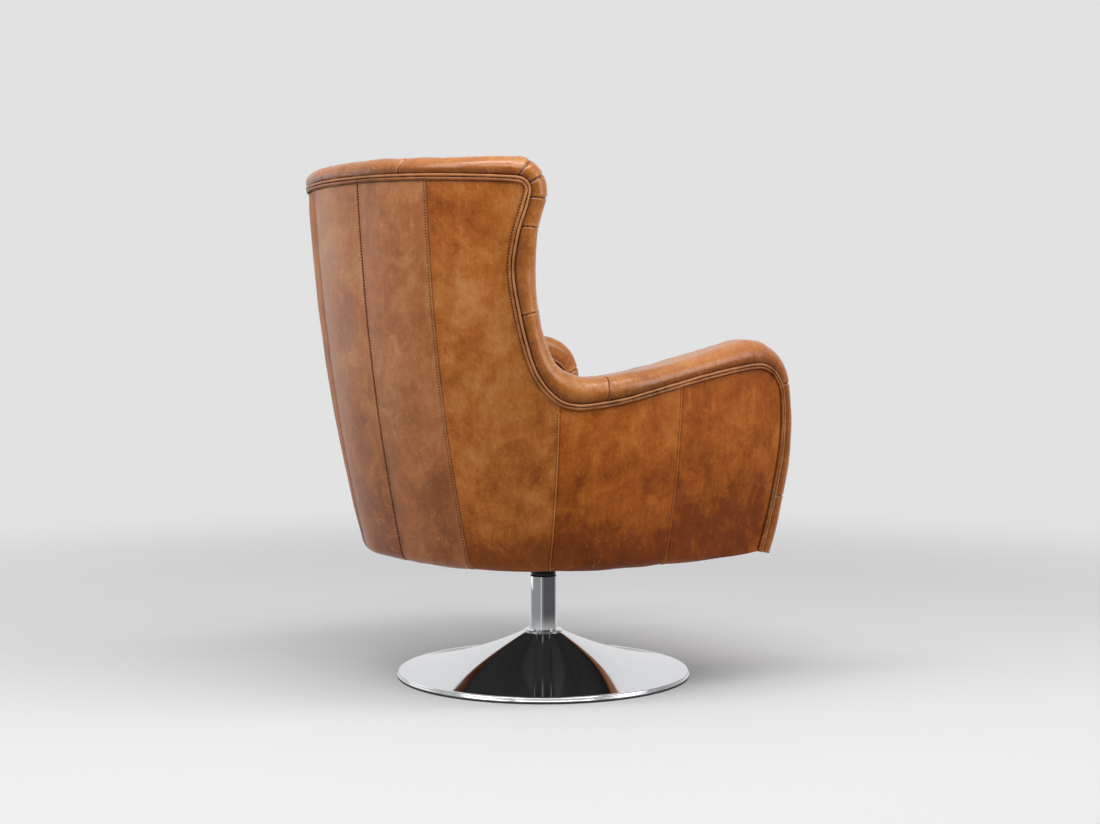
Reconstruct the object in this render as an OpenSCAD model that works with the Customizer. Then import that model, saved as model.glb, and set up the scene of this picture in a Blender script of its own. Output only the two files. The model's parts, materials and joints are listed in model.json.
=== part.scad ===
// Leather wing armchair that swivels on a chromed trumpet base.
// Millimetres, +Z up, the sitter faces -Y, and the origin is on the floor at the swivel axis.
// The tub's pieces share one curved frame: w runs round the plan from the rear centre (0), past the
// rear corner (1) and forward along the side, z is the height, and off is the depth inside the leather.

/* [Tub] */
// Height of the tub's bottom edge above the floor
tub_bottom = 237; // [215:1:260]
// Height of the outer panels' top edge at the back
rim_top = 881; // [836:1:926]
// Extra rise of the back's edge towards its centre
back_rise = 14; // [0:1:20]
// Half width of the tub at its bottom edge
half_w_bottom = 323; // [298:1:338]
// Half width of the tub halfway up
half_w_mid = 355; // [338:1:373]
// Half width of the tub at the top of the wings
half_w_top = 329; // [309:1:344]
// Distance from the swivel axis back to the rear panel at its bottom edge
rear_bottom = 309; // [286:1:326]
// The same distance halfway up
rear_mid = 369; // [353:1:383]
// The same distance at the top
rear_top = 400; // [385:1:420]
// Depth of the rear corner's curve at the bottom
corner_depth_bottom = 384; // [354:1:399]
// Depth of the rear corner's curve at the top
corner_depth_top = 237; // [222:1:262]
// How far the sides draw in towards the front, over half a metre
toe_in = 40; // [20:1:60]
// Radius that tucks the panels in at the bottom edge
tuck_r = 14; // [8:1:18]
// Rise of the bottom edge towards the front
front_lift = 9; // [0:1:15]

/* [Arms and wings] */
// Height of the outer panels' edge at the front of the arm
arm_edge_z = 575; // [550:1:600]
// Distance from the swivel axis forward to the arm's front edge
arm_front = 275; // [254:1:294]
// Distance forward to the foot of the arm's front edge
arm_foot = 242; // [222:1:252]
// Height of the edge at its lowest point, where arm and wing meet
dip_z = 515; // [500:1:535]
// Distance back from the swivel axis to that lowest point
dip_y = 179; // [166:1:191]
// Distance back to the wing's front edge at its waist
wing_y = 293; // [281:1:297]
// Distance back to the wing's tip
wing_tip_y = 274; // [268:1:282]
// Height of the padded roll above the outer panels' edge, at the arm
roll_h = 50; // [42:1:56]

/* [Padding] */
// Thickness of the padded wall at the arms, the wings and the top
wall = 75; // [68:1:85]
// Extra depth of the back's padding at the lumbar
lumbar = 62; // [40:1:75]
// Height of the lumbar's fullest point
lumbar_z = 520; // [480:1:560]
// Thickness of the leather
leather_t = 1.6; // [1.2:0.1:1.8]
// Thickness of the moulded board behind the outer leather
board_t = 6; // [4:0.5:7]
// Width of the frame's rails, across the wall
rail_w = 20; // [16:1:24]
// Diameter of the welt cord with its leather
welt_d = 5; // [4:0.5:6]

/* [Seat] */
// Height of the seat deck
deck_z = 316; // [308:1:326]
// Height of the cushion's top edge
cushion_edge_z = 418; // [405:1:430]
// Rise of the cushion's crown above its edge
crown = 32; // [20:1:45]
// Distance from the swivel axis forward to the cushion's front
cushion_front = 306; // [291:1:321]
// How far the cushion's sides draw in between its corners
draw_in = 6; // [3:1:9]
// Width of the seat springs' steel wire
spring_wire = 4; // [3:0.5:5]
// Number of seat springs
spring_count = 5; // [3:1:6]

/* [Frame] */
// Thickness of the frame's straight boards
board_w = 22; // [18:1:26]
// Thickness of the bearers that carry the swivel plate
bearer_h = 26; // [20:1:32]
// Width of a bearer
bearer_w = 60; // [50:1:70]

/* [Base] */
// Radius of the trumpet base
base_r = 270; // [250:1:300]
// Height of the trumpet base's top above the floor
trumpet_h = 81; // [70:1:95]
// Thickness of the trumpet's spun steel
trumpet_t = 1.6; // [1.2:0.1:2]
// Radius of the trim ring round the column
collar_r = 36; // [32:1:42]
// Height of the trim ring
collar_h = 3; // [2:0.5:4]
// Radius of the chromed column
column_r = 25; // [24:0.5:30]
// Wall of the chromed column
column_t = 2; // [1.5:0.1:2.5]
// Height of the column's top above the floor
column_top = 184; // [170:1:194]
// Distance from the trumpet's rim in to the steel ballast plate
ballast_inset = 12; // [8:1:20]
// Thickness of the ballast plate
ballast_t = 4; // [3:0.5:4]
// Thickness of the floor pad under the base
floor_pad_h = 4; // [3.5:0.5:5]

/* [Swivel] */
// Radius of the spindle
spindle_r = 14; // [12:0.5:15]
// Radius of the spindle's lower pin
pin_r = 8.5; // [8:0.5:9]
// Radial running clearance of the spindle in its bushes
run_gap = 0.05; // [0.02:0.01:0.09]
// Length of each bush
bush_l = 28; // [20:1:30]
// Diameter of the thrust bearing's balls
ball_d = 6; // [5:0.5:7]
// Number of balls
ball_count = 12; // [8:1:12]
// Thickness of a bearing race
race_t = 2.5; // [2:0.5:3]
// Radius of the black sleeve over the spindle
sleeve_r = 22.85; // [20:0.05:24]
// Gap between the column's top and the sleeve
sleeve_gap = 0.8; // [0.4:0.1:1.5]
// Side of the square swivel plate
plate_w = 190; // [170:1:200]
// Thickness of the swivel plate
plate_t = 5; // [4:0.5:6]
// Distance between the plate's bolts
bolt_pitch = 140; // [130:1:150]
// Radius of the plate's bolts
bolt_r = 4; // [3:0.5:5]

/* [Hidden] */

// Small gap that keeps neighbouring pieces of the tub apart
gap = 0.4;
// Room that flat facets need between two curved layers
facet_gap = 4;
// Clearance round bolts in their holes
bolt_gap = 0.5;
// Power of the superellipse that rounds the rear corners in plan
corner_power = 2.56;
// Length along the side that one unit of w covers past the corner
side_unit = 500;
// Where the moulded board, the frame's rails and the foam start, as depths inside the leather
board_off = leather_t + facet_gap;
rail_off = board_off + board_t + facet_gap;
foam_off = rail_off + rail_w + facet_gap;
// Widths, as x, of the seam between the rear panel and the wing panel, at its bottom and top
rear_seam_bottom = 163;
rear_seam_top = 176;
// Distances back from the axis to the seam below the arm's dip, at its bottom
side_seam_y = 192;
// Distance forward to the seam across the arm panel, at its bottom
arm_seam_y = -11;
// Places, as w, of the seam between the inner back and the inner sides, at the seat and at the top
inner_seam_seat = 0.455;
inner_seam_top = 0.5;
// Radii of the rim roll's outer and inner shoulders
roll_r = 18;
roll_inner_r = 18;
// Lean of the arm's front edge over its lowest part, and the height of that part
front_lean = 16;
lean_h = 80;
$fn = 64;

leather = [0.66, 0.37, 0.18];
leather_dark = [0.55, 0.29, 0.13];
wood = [0.80, 0.66, 0.46];
foam = [0.93, 0.88, 0.70];
chrome = [0.80, 0.82, 0.85];
steel = [0.55, 0.57, 0.60];
black = [0.08, 0.08, 0.09];

// Shared curves

function lerp(a, b, t) = a + (b - a) * t;
function smooth(t) = let (c = max(0, min(1, t))) c * c * (3 - 2 * c);
// Curve through three values at t = 0, 0.5 and 1
function through3(a, m, b, t) = a * (1 - t) * (1 - 2 * t) + 4 * m * t * (1 - t) + b * t * (2 * t - 1);
function unit(v) = v / norm(v);

function rise(z) = (z - tub_bottom) / (rim_top - tub_bottom);
function half_w(z) = through3(half_w_bottom, half_w_mid, half_w_top, rise(z));
function rear_y(z) = through3(rear_bottom, rear_mid, rear_top, rise(z));
function corner_depth(z) = lerp(corner_depth_bottom, corner_depth_top, pow(max(rise(z), 0), 2));
function corner_y(z) = rear_y(z) - corner_depth(z);
function bottom_z(w) = tub_bottom + front_lift * pow(max(0, abs(w) - 1) / 0.5, 2);
// How far the panels tuck in near their bottom edge. The tuck fades out towards the front.
function tuck(w, z) = let (h = max(0, z - bottom_z(w)))
    h < tuck_r ? (tuck_r - sqrt(tuck_r * tuck_r - pow(tuck_r - h, 2))) * (1 - smooth((abs(w) - 0.9) / 0.4)) : 0;
// The back's padding is deepest at the lumbar
function back_pad(z) = wall + lumbar * (z > lumbar_z
    ? smooth((rim_top - z) / (rim_top - lumbar_z))
    : 1 - 0.12 * smooth((lumbar_z - z) / (lumbar_z - deck_z)));

// The back rises towards its centre, above the lumbar
function lift(w, z) = back_rise * max(0, 1 - pow(w / 0.9, 2)) * smooth((z - lumbar_z) / (rim_top - lumbar_z));

// Point of the tub at w and z, off inside the leather at the sides and rear_off at the rear
function tub(w, z, off = 0, rear_off = undef) =
    let (k = abs(w), side = w < 0 ? -1 : 1,
         tucked = off < board_off ? tuck(w, z) : 0,
         a = half_w(z) - off - tucked,
         c = corner_y(z),
         b = rear_y(z) - (is_undef(rear_off) ? off : rear_off) - tucked - c)
    k <= 1
        ? let (s = sin(90 * k), q = cos(90 * k),
               rho = pow(pow(s / a, corner_power) + pow(q / b, corner_power), -1 / corner_power))
          [side * rho * s, c + rho * q, z + lift(k, z)]
        : [side * (a - toe_in * pow(k - 1, 2)), c - (k - 1) * side_unit, z];
// Point of the padded inner surface, inset from the sitter's side
function pad_pt(w, z, inset = 0) = tub(w, z, wall - inset, back_pad(z) - inset);
// w of the outer surface at a given y or x
function w_at_y(y, z) =
    let (c = corner_y(z), b = corner_depth(z), f = pow(max(0, min(1, (y - c) / b)), corner_power))
    y <= c ? 1 + (c - y) / side_unit : atan2(half_w(z) * pow(1 - f, 1 / corner_power), y - c) / 90;
function w_at_x(x, z) =
    atan2(x, corner_depth(z) * pow(1 - pow(x / half_w(z), corner_power), 1 / corner_power)) / 90;
// Half width between the walls at a given y and depth
function x_at_y(y, z, off) =
    let (c = corner_y(z), a = half_w(z) - off, b = corner_depth(z) - off)
    y <= c ? a - toe_in * pow((c - y) / side_unit, 2)
           : a * pow(1 - pow(min(1, (y - c) / b), corner_power), 1 / corner_power);
// Edge of the outer panels, from the foot of the arm's front to the wing's tip, then along the top.
// Each point is y, z and the height of the rim's roll above the edge.
foot_z = tub_bottom + front_lift * 2 / 3;
// Shares of the arm's run and height, and of the wing's
function arm_y(t) = lerp(-arm_front, dip_y, t);
function arm_z(t) = lerp(foot_z, arm_edge_z, t);
function wing_run(t) = lerp(dip_y, wing_y, t);
function wing_z(t) = lerp(dip_z, rim_top, t);
function tip_run(t) = lerp(wing_y, wing_tip_y, t);
edge_points = [
    [-arm_foot, foot_z, 0.8 * roll_h],
    [-arm_foot - front_lean, foot_z + lean_h, 0.82 * roll_h],
    [-arm_front, arm_z(0.579), 0.72 * roll_h],
    [arm_y(0.002), arm_z(0.823), 0.64 * roll_h],
    [arm_y(0.029), arm_z(0.9235), 0.818 * roll_h],
    [arm_y(0.0845), arm_z(0.9835), 0.86 * roll_h],
    [arm_y(0.168), arm_edge_z, 0.85 * roll_h],
    [arm_y(0.38), lerp(arm_edge_z, dip_z, 0.19), 0.7 * roll_h],
    [arm_y(0.6195), lerp(arm_edge_z, dip_z, 0.515), 0.67 * roll_h],
    [arm_y(0.817), lerp(arm_edge_z, dip_z, 0.823), 0.8 * roll_h],
    [arm_y(0.9635), lerp(arm_edge_z, dip_z, 0.98), 0.9 * roll_h],
    [wing_run(0.113), wing_z(0.004), 0.97 * roll_h],
    [wing_run(0.331), wing_z(0.0292), roll_h],
    [wing_run(0.564), wing_z(0.1063), 0.83 * roll_h],
    [wing_run(0.724), wing_z(0.211), 0.726 * roll_h],
    [wing_run(0.888), wing_z(0.3915), 0.69 * roll_h],
    [wing_y, wing_z(0.5926), 0.834 * roll_h],
    [tip_run(0.18), wing_z(0.753), 0.75 * roll_h],
    [tip_run(0.737), wing_z(0.883), 0.72 * roll_h],
    [wing_tip_y, wing_z(0.955), 0.774 * roll_h],
    [tip_run(0.663), wing_z(0.991), 0.8 * roll_h],
    [wing_y, rim_top, 0.68 * roll_h]
];
// Places in that list of the arm's front corner, of the seam on the arm, of the dip and of the wing's tip
corner_at = 4;
arm_joint_at = 9.5;
dip_at = 10;
tip_at = 20;
function spline(p, i, t) =
    let (a = p[max(i - 1, 0)], b = p[i], c = p[i + 1], d = p[min(i + 2, len(p) - 1)])
    0.5 * (2 * b + (c - a) * t + (2 * a - 5 * b + 4 * c - d) * t * t + (3 * b - a - 3 * c + d) * t * t * t);
// The edge as w, z and roll height, with two steps between the points above
edge_steps = 2;
top_steps = 12;
edge_side = [for (i = [0 : len(edge_points) - 2], k = [0 : edge_steps - 1])
    let (p = spline(edge_points, i, k / edge_steps)) [w_at_y(p[0], p[1]), p[1], p[2]]];
tip = edge_points[len(edge_points) - 1];
top_roll_h = 0.6 * roll_h;
edge_top = [for (k = [0 : top_steps]) let (t = pow(k / top_steps, 1.25))
    [w_at_y(tip[0], tip[1]) * (1 - t), tip[1], lerp(tip[2], top_roll_h, min(1, 3 * t))]];
edge = concat(edge_side, edge_top);
// The same edge for the whole chair, from the left foot over the top to the right foot
full_edge = concat(edge, [for (i = [len(edge) - 2 : -1 : 0]) [-edge[i][0], edge[i][1], edge[i][2]]]);
top_start = len(edge_side);
edge_end = len(full_edge) - 1;

// Point of the edge at a place between 0 and its last index
function edge_at(s) = let (i = min(floor(s), len(edge) - 2)) lerp(edge[i], edge[i + 1], s - i);
function edge_wz(s) = [edge_at(s)[0], edge_at(s)[1]];
function edge_line(s0, s1) = function (u) edge_wz(lerp(s0, s1, u));
// Place on the edge's top part where it reaches a given w, and on its front part where it reaches a given z
function top_place(w) = [for (i = [top_start - 2 : len(edge) - 2])
    if (edge[i][0] >= w && edge[i + 1][0] <= w) i + (edge[i][0] - w) / (edge[i][0] - edge[i + 1][0])][0];
function front_place(z) = is_undef(z) ? 0 : [for (i = [0 : corner_at * edge_steps - 1])
    if (edge[i][1] <= z && edge[i + 1][1] > z) i + (z - edge[i][1]) / (edge[i + 1][1] - edge[i][1])][0];
// Direction in the surface, square to the edge, that leaves the panels at point i, as w and z per mm
function edge_out(i) =
    let (a = full_edge[max(i - 1, 0)], b = full_edge[min(i + 1, edge_end)], c = full_edge[i],
         along_w = (tub(c[0] + 0.01, c[1]) - tub(c[0] - 0.01, c[1])) / 0.02,
         along_z = (tub(c[0], c[1] + 2) - tub(c[0], c[1] - 2)) / 4,
         t = (b[0] - a[0]) * along_w + (b[1] - a[1]) * along_z, g = along_z * t, h = -along_w * t)
    [g, h] / norm(g * along_w + h * along_z);
// Point q mm beyond the edge and p mm inside the leather. Padded pieces deepen with the back.
function edge_pt(i, p, q, padded = true) =
    let (o = edge_out(i), w = full_edge[i][0] + q * o[0], z = full_edge[i][1] + q * o[1])
    tub(w, z, p, padded ? p * back_pad(z) / wall : p);

// Closed solids from grids of points

function strip(r0, r1, n, wrap) = [for (j = [0 : n - (wrap ? 1 : 2)]) let (k = (j + 1) % n)
    each [[r0 + j, r0 + k, r1 + k], [r0 + j, r1 + k, r1 + j]]];
function flip(faces) = [for (f = faces) [f[0], f[2], f[1]]];
// Slab between two grids of rows. Seen from outside the first one, rows go up and columns go right to left.
module slab(outer, inner, wrap = false) {
    rows = len(outer);
    n = len(outer[0]);
    half = rows * n;
    last = half - n;
    polyhedron(concat([for (r = outer) each r], [for (r = inner) each r]), concat(
        [for (i = [0 : rows - 2]) each strip(i * n, (i + 1) * n, n, wrap)],
        [for (i = [0 : rows - 2]) each flip(strip(half + i * n, half + (i + 1) * n, n, wrap))],
        flip(strip(0, half, n, wrap)),
        strip(last, half + last, n, wrap),
        wrap ? [] : [for (i = [0 : rows - 2]) let (a = i * n, b = a + n, c = a + n - 1, d = b + n - 1)
            each [[a, b, half + b], [a, half + b, half + a], [c, half + d, d], [c, half + c, half + d]]]),
        convexity = 8);
}
// Tube through rings of points, closed by flat ends, or on itself with loop
module tube(rings, loop = false) {
    n = len(rings[0]);
    count = len(rings);
    last = (count - 1) * n;
    polyhedron([for (r = rings) each r], concat(
        [for (i = [0 : count - (loop ? 1 : 2)]) each strip(i * n, ((i + 1) % count) * n, n, true)],
        loop ? [] : [for (j = [1 : n - 2]) [0, j + 1, j]],
        loop ? [] : [for (j = [1 : n - 2]) [last, last + j, last + j + 1]]), convexity = 8);
}
module both_sides() {
    children();
    mirror([1, 0, 0]) children();
}

// Patches of the tub between seams, as grids of w and z. z0 is their lower end, or the tub's own edge.

function low(w, z0) = is_undef(z0) ? bottom_z(w) : z0;
function low_line(w0, w1, z0) = function (u) let (w = lerp(w0, w1, u)) [w, low(w, z0)];
// Seams from z0 up to a place on the edge, each a function of v from 0 to 1
function rear_seam(z0) = function (v) let (z = lerp(low(0, z0), rim_top, v))
    [w_at_x(lerp(rear_seam_bottom, rear_seam_top, rise(z)), z), z];
function inner_seam(z0) = function (v) let (z = lerp(low(0, z0), rim_top, v))
    [lerp(inner_seam_seat, inner_seam_top, rise(z)), z];
function bent_seam(y0, s, z0) =
    let (e = edge_wz(s), w0 = w_at_y(y0, tub_bottom), y1 = tub(e[0], e[1])[1])
    function (v) let (z = lerp(low(w0, z0), e[1], v))
    [v < 1 ? w_at_y(lerp(y0, y1, (z - tub_bottom) / (e[1] - tub_bottom)), z) : e[0], z];
side_place = (dip_at + 1.86) * edge_steps;
arm_place = 7.75 * edge_steps;
corner_place = corner_at * edge_steps;
tip_place = tip_at * edge_steps;
// The wing's front follows the side seam up to the rim, then the rim up to the wing's tip
function seam_share(z0) = let (z = low(0, z0)) (dip_z - z) / (rim_top - z);
function wing_front(z0) = let (seam = bent_seam(side_seam_y, side_place, z0), m = seam_share(z0)) function (v)
    v < m ? seam(v / m) : edge_wz(lerp(side_place, tip_place, (v - m) / (1 - m)));

function coons(b, t, l, r, u, v) =
    lerp(b(u), t(u), v) + lerp(l(v), r(v), u) - lerp(lerp(b(0), b(1), u), lerp(t(0), t(1), u), v);
// Rows of the patches as shares of their height, the same on both sides of a seam. A patch that reaches
// the bottom has extra ones in its tuck. The tall patches at the rear go on above the side seam's top.
low_rows = 5;
high_rows = 8;
function low_shares(z0) = let (f = tuck_r / (dip_z - tub_bottom)) is_undef(z0)
    ? concat([0, 0.3 * f], [for (i = [0 : low_rows]) lerp(f, 1, i / low_rows)])
    : [for (i = [0 : low_rows]) i / low_rows];
function tall_shares(z0) = concat([for (v = low_shares(z0)) v * seam_share(z0)],
    [for (i = [1 : high_rows]) lerp(seam_share(z0), 1, i / high_rows)]);
function patch(b, t, l, r, cols, shares) =
    [for (v = shares) [for (j = [0 : cols]) coons(b, t, l, r, j / cols, v)]];
function mirrored(g) = [for (r = g) concat([for (j = [len(r) - 1 : -1 : 1]) [-r[j][0], r[j][1]]], r)];
function rear_patch(seam, z0, cols) =
    let (right = seam(z0), top_w = right(1)[0])
    patch(low_line(0, right(0)[0], z0), function (u) [u * top_w, rim_top],
          function (v) [0, lerp(low(0, z0), rim_top, v)], right, cols, tall_shares(z0));
// The wing's top edge from a seam to the tip, in even steps of w
function wing_top(seam) = let (w0 = seam(undef)(1)[0], w1 = edge_wz(tip_place)[0])
    function (u) edge_wz(u < 1 ? top_place(lerp(w0, w1, u)) : tip_place);
function wing_patch(seam, z0, cols, top = undef) =
    let (left = seam(z0), right = wing_front(z0))
    patch(low_line(left(0)[0], right(0)[0], z0),
          is_undef(top) ? edge_line(top_place(left(1)[0]), tip_place) : top,
          left, right, cols, tall_shares(z0));
function side_patch(z0, cols) =
    let (left = bent_seam(side_seam_y, side_place, z0), right = bent_seam(arm_seam_y, arm_place, z0))
    patch(low_line(left(0)[0], right(0)[0], z0), edge_line(side_place, arm_place), left, right, cols,
          low_shares(z0));
function arm_patch(z0, cols) =
    let (left = bent_seam(arm_seam_y, arm_place, z0), s0 = front_place(z0))
    patch(low_line(left(0)[0], edge_wz(s0)[0], z0), edge_line(arm_place, corner_place),
          left, edge_line(s0, corner_place), cols, low_shares(z0));

// Layers of a patch at fixed depths, and padding from a fixed depth to the sitter's side
function at_off(g, off) = [for (r = g) [for (p = r) tub(p[0], p[1], off)]];
function at_pad(g, inset) = [for (r = g) [for (p = r) pad_pt(p[0], p[1], inset)]];
module layer(g, off, t) slab(at_off(g, off), at_off(g, off + t));
module padding(g) slab(at_off(g, foam_off), at_pad(g, leather_t + gap));
module lining(g) slab(at_pad(g, leather_t), at_pad(g, 0));

// Outer leather, one module a panel, made on the left and mirrored

module rear_panel() color(leather) layer(rear_patch(function (z) rear_seam(z), undef, 4), 0, leather_t);
module wing_panel() color(leather) layer(wing_patch(function (z) rear_seam(z), undef, 8), 0, leather_t);
module side_panel() color(leather) layer(side_patch(undef, 7), 0, leather_t);
module arm_panel() color(leather) layer(arm_patch(undef, 7), 0, leather_t);
module rear_panel_left() rear_panel();
module rear_panel_right() mirror([1, 0, 0]) rear_panel();
module wing_panel_left() wing_panel();
module wing_panel_right() mirror([1, 0, 0]) wing_panel();
module side_panel_left() side_panel();
module side_panel_right() mirror([1, 0, 0]) side_panel();
module arm_panel_left() arm_panel();
module arm_panel_right() mirror([1, 0, 0]) arm_panel();

// Rim: leather facing over a foam roll, with two welts outside and one inside

// Where the facing starts, clear of the welts
facing_q = welt_d + 0.5;
roll_proud = 2;
// Half of the rim roll's section, inset for the foam. p goes through the wall and q beyond the edge.
function roll(h, inset, q0, turn) = let (r = min(roll_r, 0.4 * h), s = min(roll_inner_r, 0.5 * h))
    [[inset - roll_proud, q0],
     for (a = [0 : turn : 90]) [r - roll_proud - (r - inset) * cos(a), h - r + (r - inset) * sin(a)],
     [wall * 0.45, h + 2 - inset],
     for (a = [90 : -turn : 0]) [wall + 1 - s + (s - inset) * cos(a), h - s + (s - inset) * sin(a)],
     [wall + 1 - inset, q0]];
function roll_ring(i, inset, q0, turn = 45) =
    [for (p = roll(full_edge[i][2], inset, q0, turn)) edge_pt(i, p[0], p[1])];
module facing(i0, i1) color(leather)
    slab([for (i = [i0 : i1]) roll_ring(i, 0, facing_q)],
         [for (i = [i0 : i1]) roll_ring(i, leather_t, facing_q)]);
module roll_foam(i0, i1) tube([for (i = [i0 : i1]) roll_ring(i, leather_t + 3 * gap, facet_gap, 90)]);
arm_joint = arm_joint_at * edge_steps;
module facing_arm_left() facing(0, arm_joint);
module facing_arm_right() mirror([1, 0, 0]) facing(0, arm_joint);
module facing_wing_left() facing(arm_joint, top_start);
module facing_wing_right() mirror([1, 0, 0]) facing(arm_joint, top_start);
module facing_top() facing(top_start, edge_end - top_start);

welt_sides = 4;
module edge_welt(p, q) tube([for (i = [0 : edge_end]) [for (k = [0 : welt_sides - 1])
    let (a = 360 * k / welt_sides) edge_pt(i, p - welt_d / 2 * cos(a), q + welt_d / 2 * sin(a))]]);
module outer_welts() color(leather_dark) {
    edge_welt(-welt_d / 2 - 2 * gap, welt_d / 2 + 0.1);
    edge_welt(-welt_d / 2 - 2 * gap, -welt_d / 2 - 0.1);
}
module inner_welt() color(leather_dark) edge_welt(wall + welt_d / 2 + facet_gap / 2, 0);

// Inner leather and foam

pad_z = deck_z + 2;
function inner_back_patch() = mirrored(rear_patch(function (z) inner_seam(z), pad_z, 4));
function inner_wing_patch() =
    wing_patch(function (z) inner_seam(z), pad_z, 5, wing_top(function (z) inner_seam(z)));
module inner_back() color(leather) lining(inner_back_patch());
module inner_side() color(leather) {
    lining(inner_wing_patch());
    lining(side_patch(pad_z, 6));
    lining(arm_patch(pad_z, 4));
}
module inner_side_left() inner_side();
module inner_side_right() mirror([1, 0, 0]) inner_side();
module back_foam() color(foam) {
    padding(inner_back_patch());
    roll_foam(top_start, edge_end - top_start);
}
module side_foam() color(foam) {
    padding(inner_wing_patch());
    padding(side_patch(pad_z, 6));
    padding(arm_patch(pad_z, 4));
    roll_foam(0, top_start);
}
module side_foam_left() side_foam();
module side_foam_right() mirror([1, 0, 0]) side_foam();

// Moulded boards behind the outer leather

board_z = tub_bottom + tuck_r + 1;
module rear_board() color(wood)
    layer(mirrored(rear_patch(function (z) rear_seam(z), board_z, 3)), board_off, board_t);
module side_board() color(wood) {
    layer(wing_patch(function (z) rear_seam(z), board_z, 7), board_off, board_t);
    layer(side_patch(board_z, 4), board_off, board_t);
    layer(arm_patch(board_z, 4), board_off, board_t);
}
module side_board_left() side_board();
module side_board_right() mirror([1, 0, 0]) side_board();

// Frame

rail_z = board_z;
rail_top = deck_z - spring_wire;
front_board_y = -arm_foot + 3;
// Bar that follows the tub at a row of w, with its four corners given as depth and height
module tub_bar(ws, z0, z1) tube([for (w = ws)
    [tub(w, z0(w), rail_off), tub(w, z0(w), rail_off + rail_w),
     tub(w, z1(w), rail_off + rail_w), tub(w, z1(w), rail_off)]]);
base_rail_w = w_at_y(front_board_y, rail_z);
module tub_base_rail() color(wood) {
    steps = 20;
    tub_bar([for (i = [-steps : steps]) base_rail_w * i / steps],
            function (w) rail_z, function (w) rail_top);
}
module rail_along_edge(i0, i1) tube([for (i = [i0 : i1])
    [for (c = [[0, -gap], [rail_w, -gap], [rail_w, -rail_w], [0, -rail_w]])
        edge_pt(i, rail_off + c[0], c[1], false)]]);
// The arm rails end past the dip, on the curved posts that carry the wings' front edge up to their tips
wing_post_place = (dip_at + 1) * edge_steps;
module rim_rails() color(wood) {
    both_sides() rail_along_edge(3, wing_post_place);
    rail_along_edge(top_start, edge_end - top_start);
}
post_w = 0.06;
arm_post_y = -232;
dip_post_y = 0;
// Height of the edge above a place on the side, between the arm's front corner and the side seam
function arm_edge_over(w) = [for (i = [corner_place : ceil(side_place)])
    if (edge[i][0] >= w && edge[i + 1][0] <= w)
        lerp(edge[i][1], edge[i + 1][1], (edge[i][0] - w) / (edge[i][0] - edge[i + 1][0]))][0];
// Height of an arm's post at y, clear below the rail under the edge
function post_top(y) = min([for (d = [-1, 1]) arm_edge_over(w_at_y(y + d * post_w * side_unit / 2, arm_edge_z))])
    - rail_w - 2 * facet_gap;
module post(place, z1) tube([for (k = [0 : 6]) let (z = lerp(rail_top, z1, k / 6), w = place(z))
    [tub(w - post_w / 2, z, rail_off), tub(w + post_w / 2, z, rail_off),
     tub(w + post_w / 2, z, rail_off + rail_w), tub(w - post_w / 2, z, rail_off + rail_w)]]);
module frame_posts() color(wood) both_sides() {
    for (w = [0.24, 0.49]) post(function (z) w, rim_top - rail_w - 2 * gap);
    for (y = [dip_post_y, arm_post_y]) post(function (z) w_at_y(y, z), post_top(y));
    rail_along_edge(wing_post_place, tip_place - 4);
}

// Board across the tub between y0 and y1, cut to the base rail's inside
module cross_board(y0, y1, z0, z1) {
    x0 = min(x_at_y(y0, z0, foam_off), x_at_y(y1, z0, foam_off));
    x1 = min(x_at_y(y0, z1, foam_off), x_at_y(y1, z1, foam_off));
    translate([0, y1, 0]) rotate([90, 0, 0])
        linear_extrude(y1 - y0) polygon([[-x0, z0], [x0, z0], [x1, z1], [-x1, z1]]);
}
rear_board_y = 200;
module front_rail() color(wood) cross_board(front_board_y, front_board_y + board_w, rail_z, rail_top);
module rear_rail() color(wood) cross_board(rear_board_y - board_w, rear_board_y, rail_z, rail_top);
block_side = 60;
module corner_block(y, way) {
    x = x_at_y(y, rail_z, foam_off);
    translate([0, 0, rail_z]) linear_extrude(rail_top - rail_z)
        polygon([[x, y], [x - block_side, y], [x, y + way * block_side]]);
}
module corner_blocks() color(wood) both_sides() {
    corner_block(front_board_y + board_w, 1);
    corner_block(rear_board_y - board_w, -1);
}
module bearers() color(wood) difference() {
    both_sides() translate([(bolt_pitch - bearer_w) / 2, front_board_y + board_w, rail_z])
        cube([bearer_w, rear_board_y - front_board_y - 2 * board_w, bearer_h]);
    at_bolts() translate([0, 0, rail_z - 1]) cylinder(r = tee_r, h = bearer_h + 2);
}

// Seat springs, deck and dust cover

spring_pitch = 44;
spring_reach = 18;
spring_steps = 6;
module spring() {
    y0 = front_board_y + board_w / 2;
    y1 = rear_board_y - board_w / 2;
    turns = round((y1 - y0) / spring_pitch);
    n = turns * spring_steps;
    // The wave is flattened at its crests, so that the loops look like the real wire's
    line = [for (i = [0 : n]) let (a = 360 * i / spring_steps)
        [spring_reach * sin(a) * (1.25 - 0.25 * abs(sin(a))), lerp(y0, y1, i / n)]];
    side = [for (i = [0 : n]) let (d = unit(line[min(i + 1, n)] - line[max(i - 1, 0)]))
        [-d[1], d[0]] * spring_wire / 2];
    translate([0, 0, rail_top]) linear_extrude(spring_wire)
        polygon(concat([for (i = [0 : n]) line[i] + side[i]], [for (i = [n : -1 : 0]) line[i] - side[i]]));
}
module seat_springs() color(steel) {
    span = tub(1, rail_top, foam_off)[0] - block_side;
    for (i = [0 : spring_count - 1])
        translate([span * (2 * (i + 0.5) / spring_count - 1), 0, 0]) spring();
}
plan_steps = 20;
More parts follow.
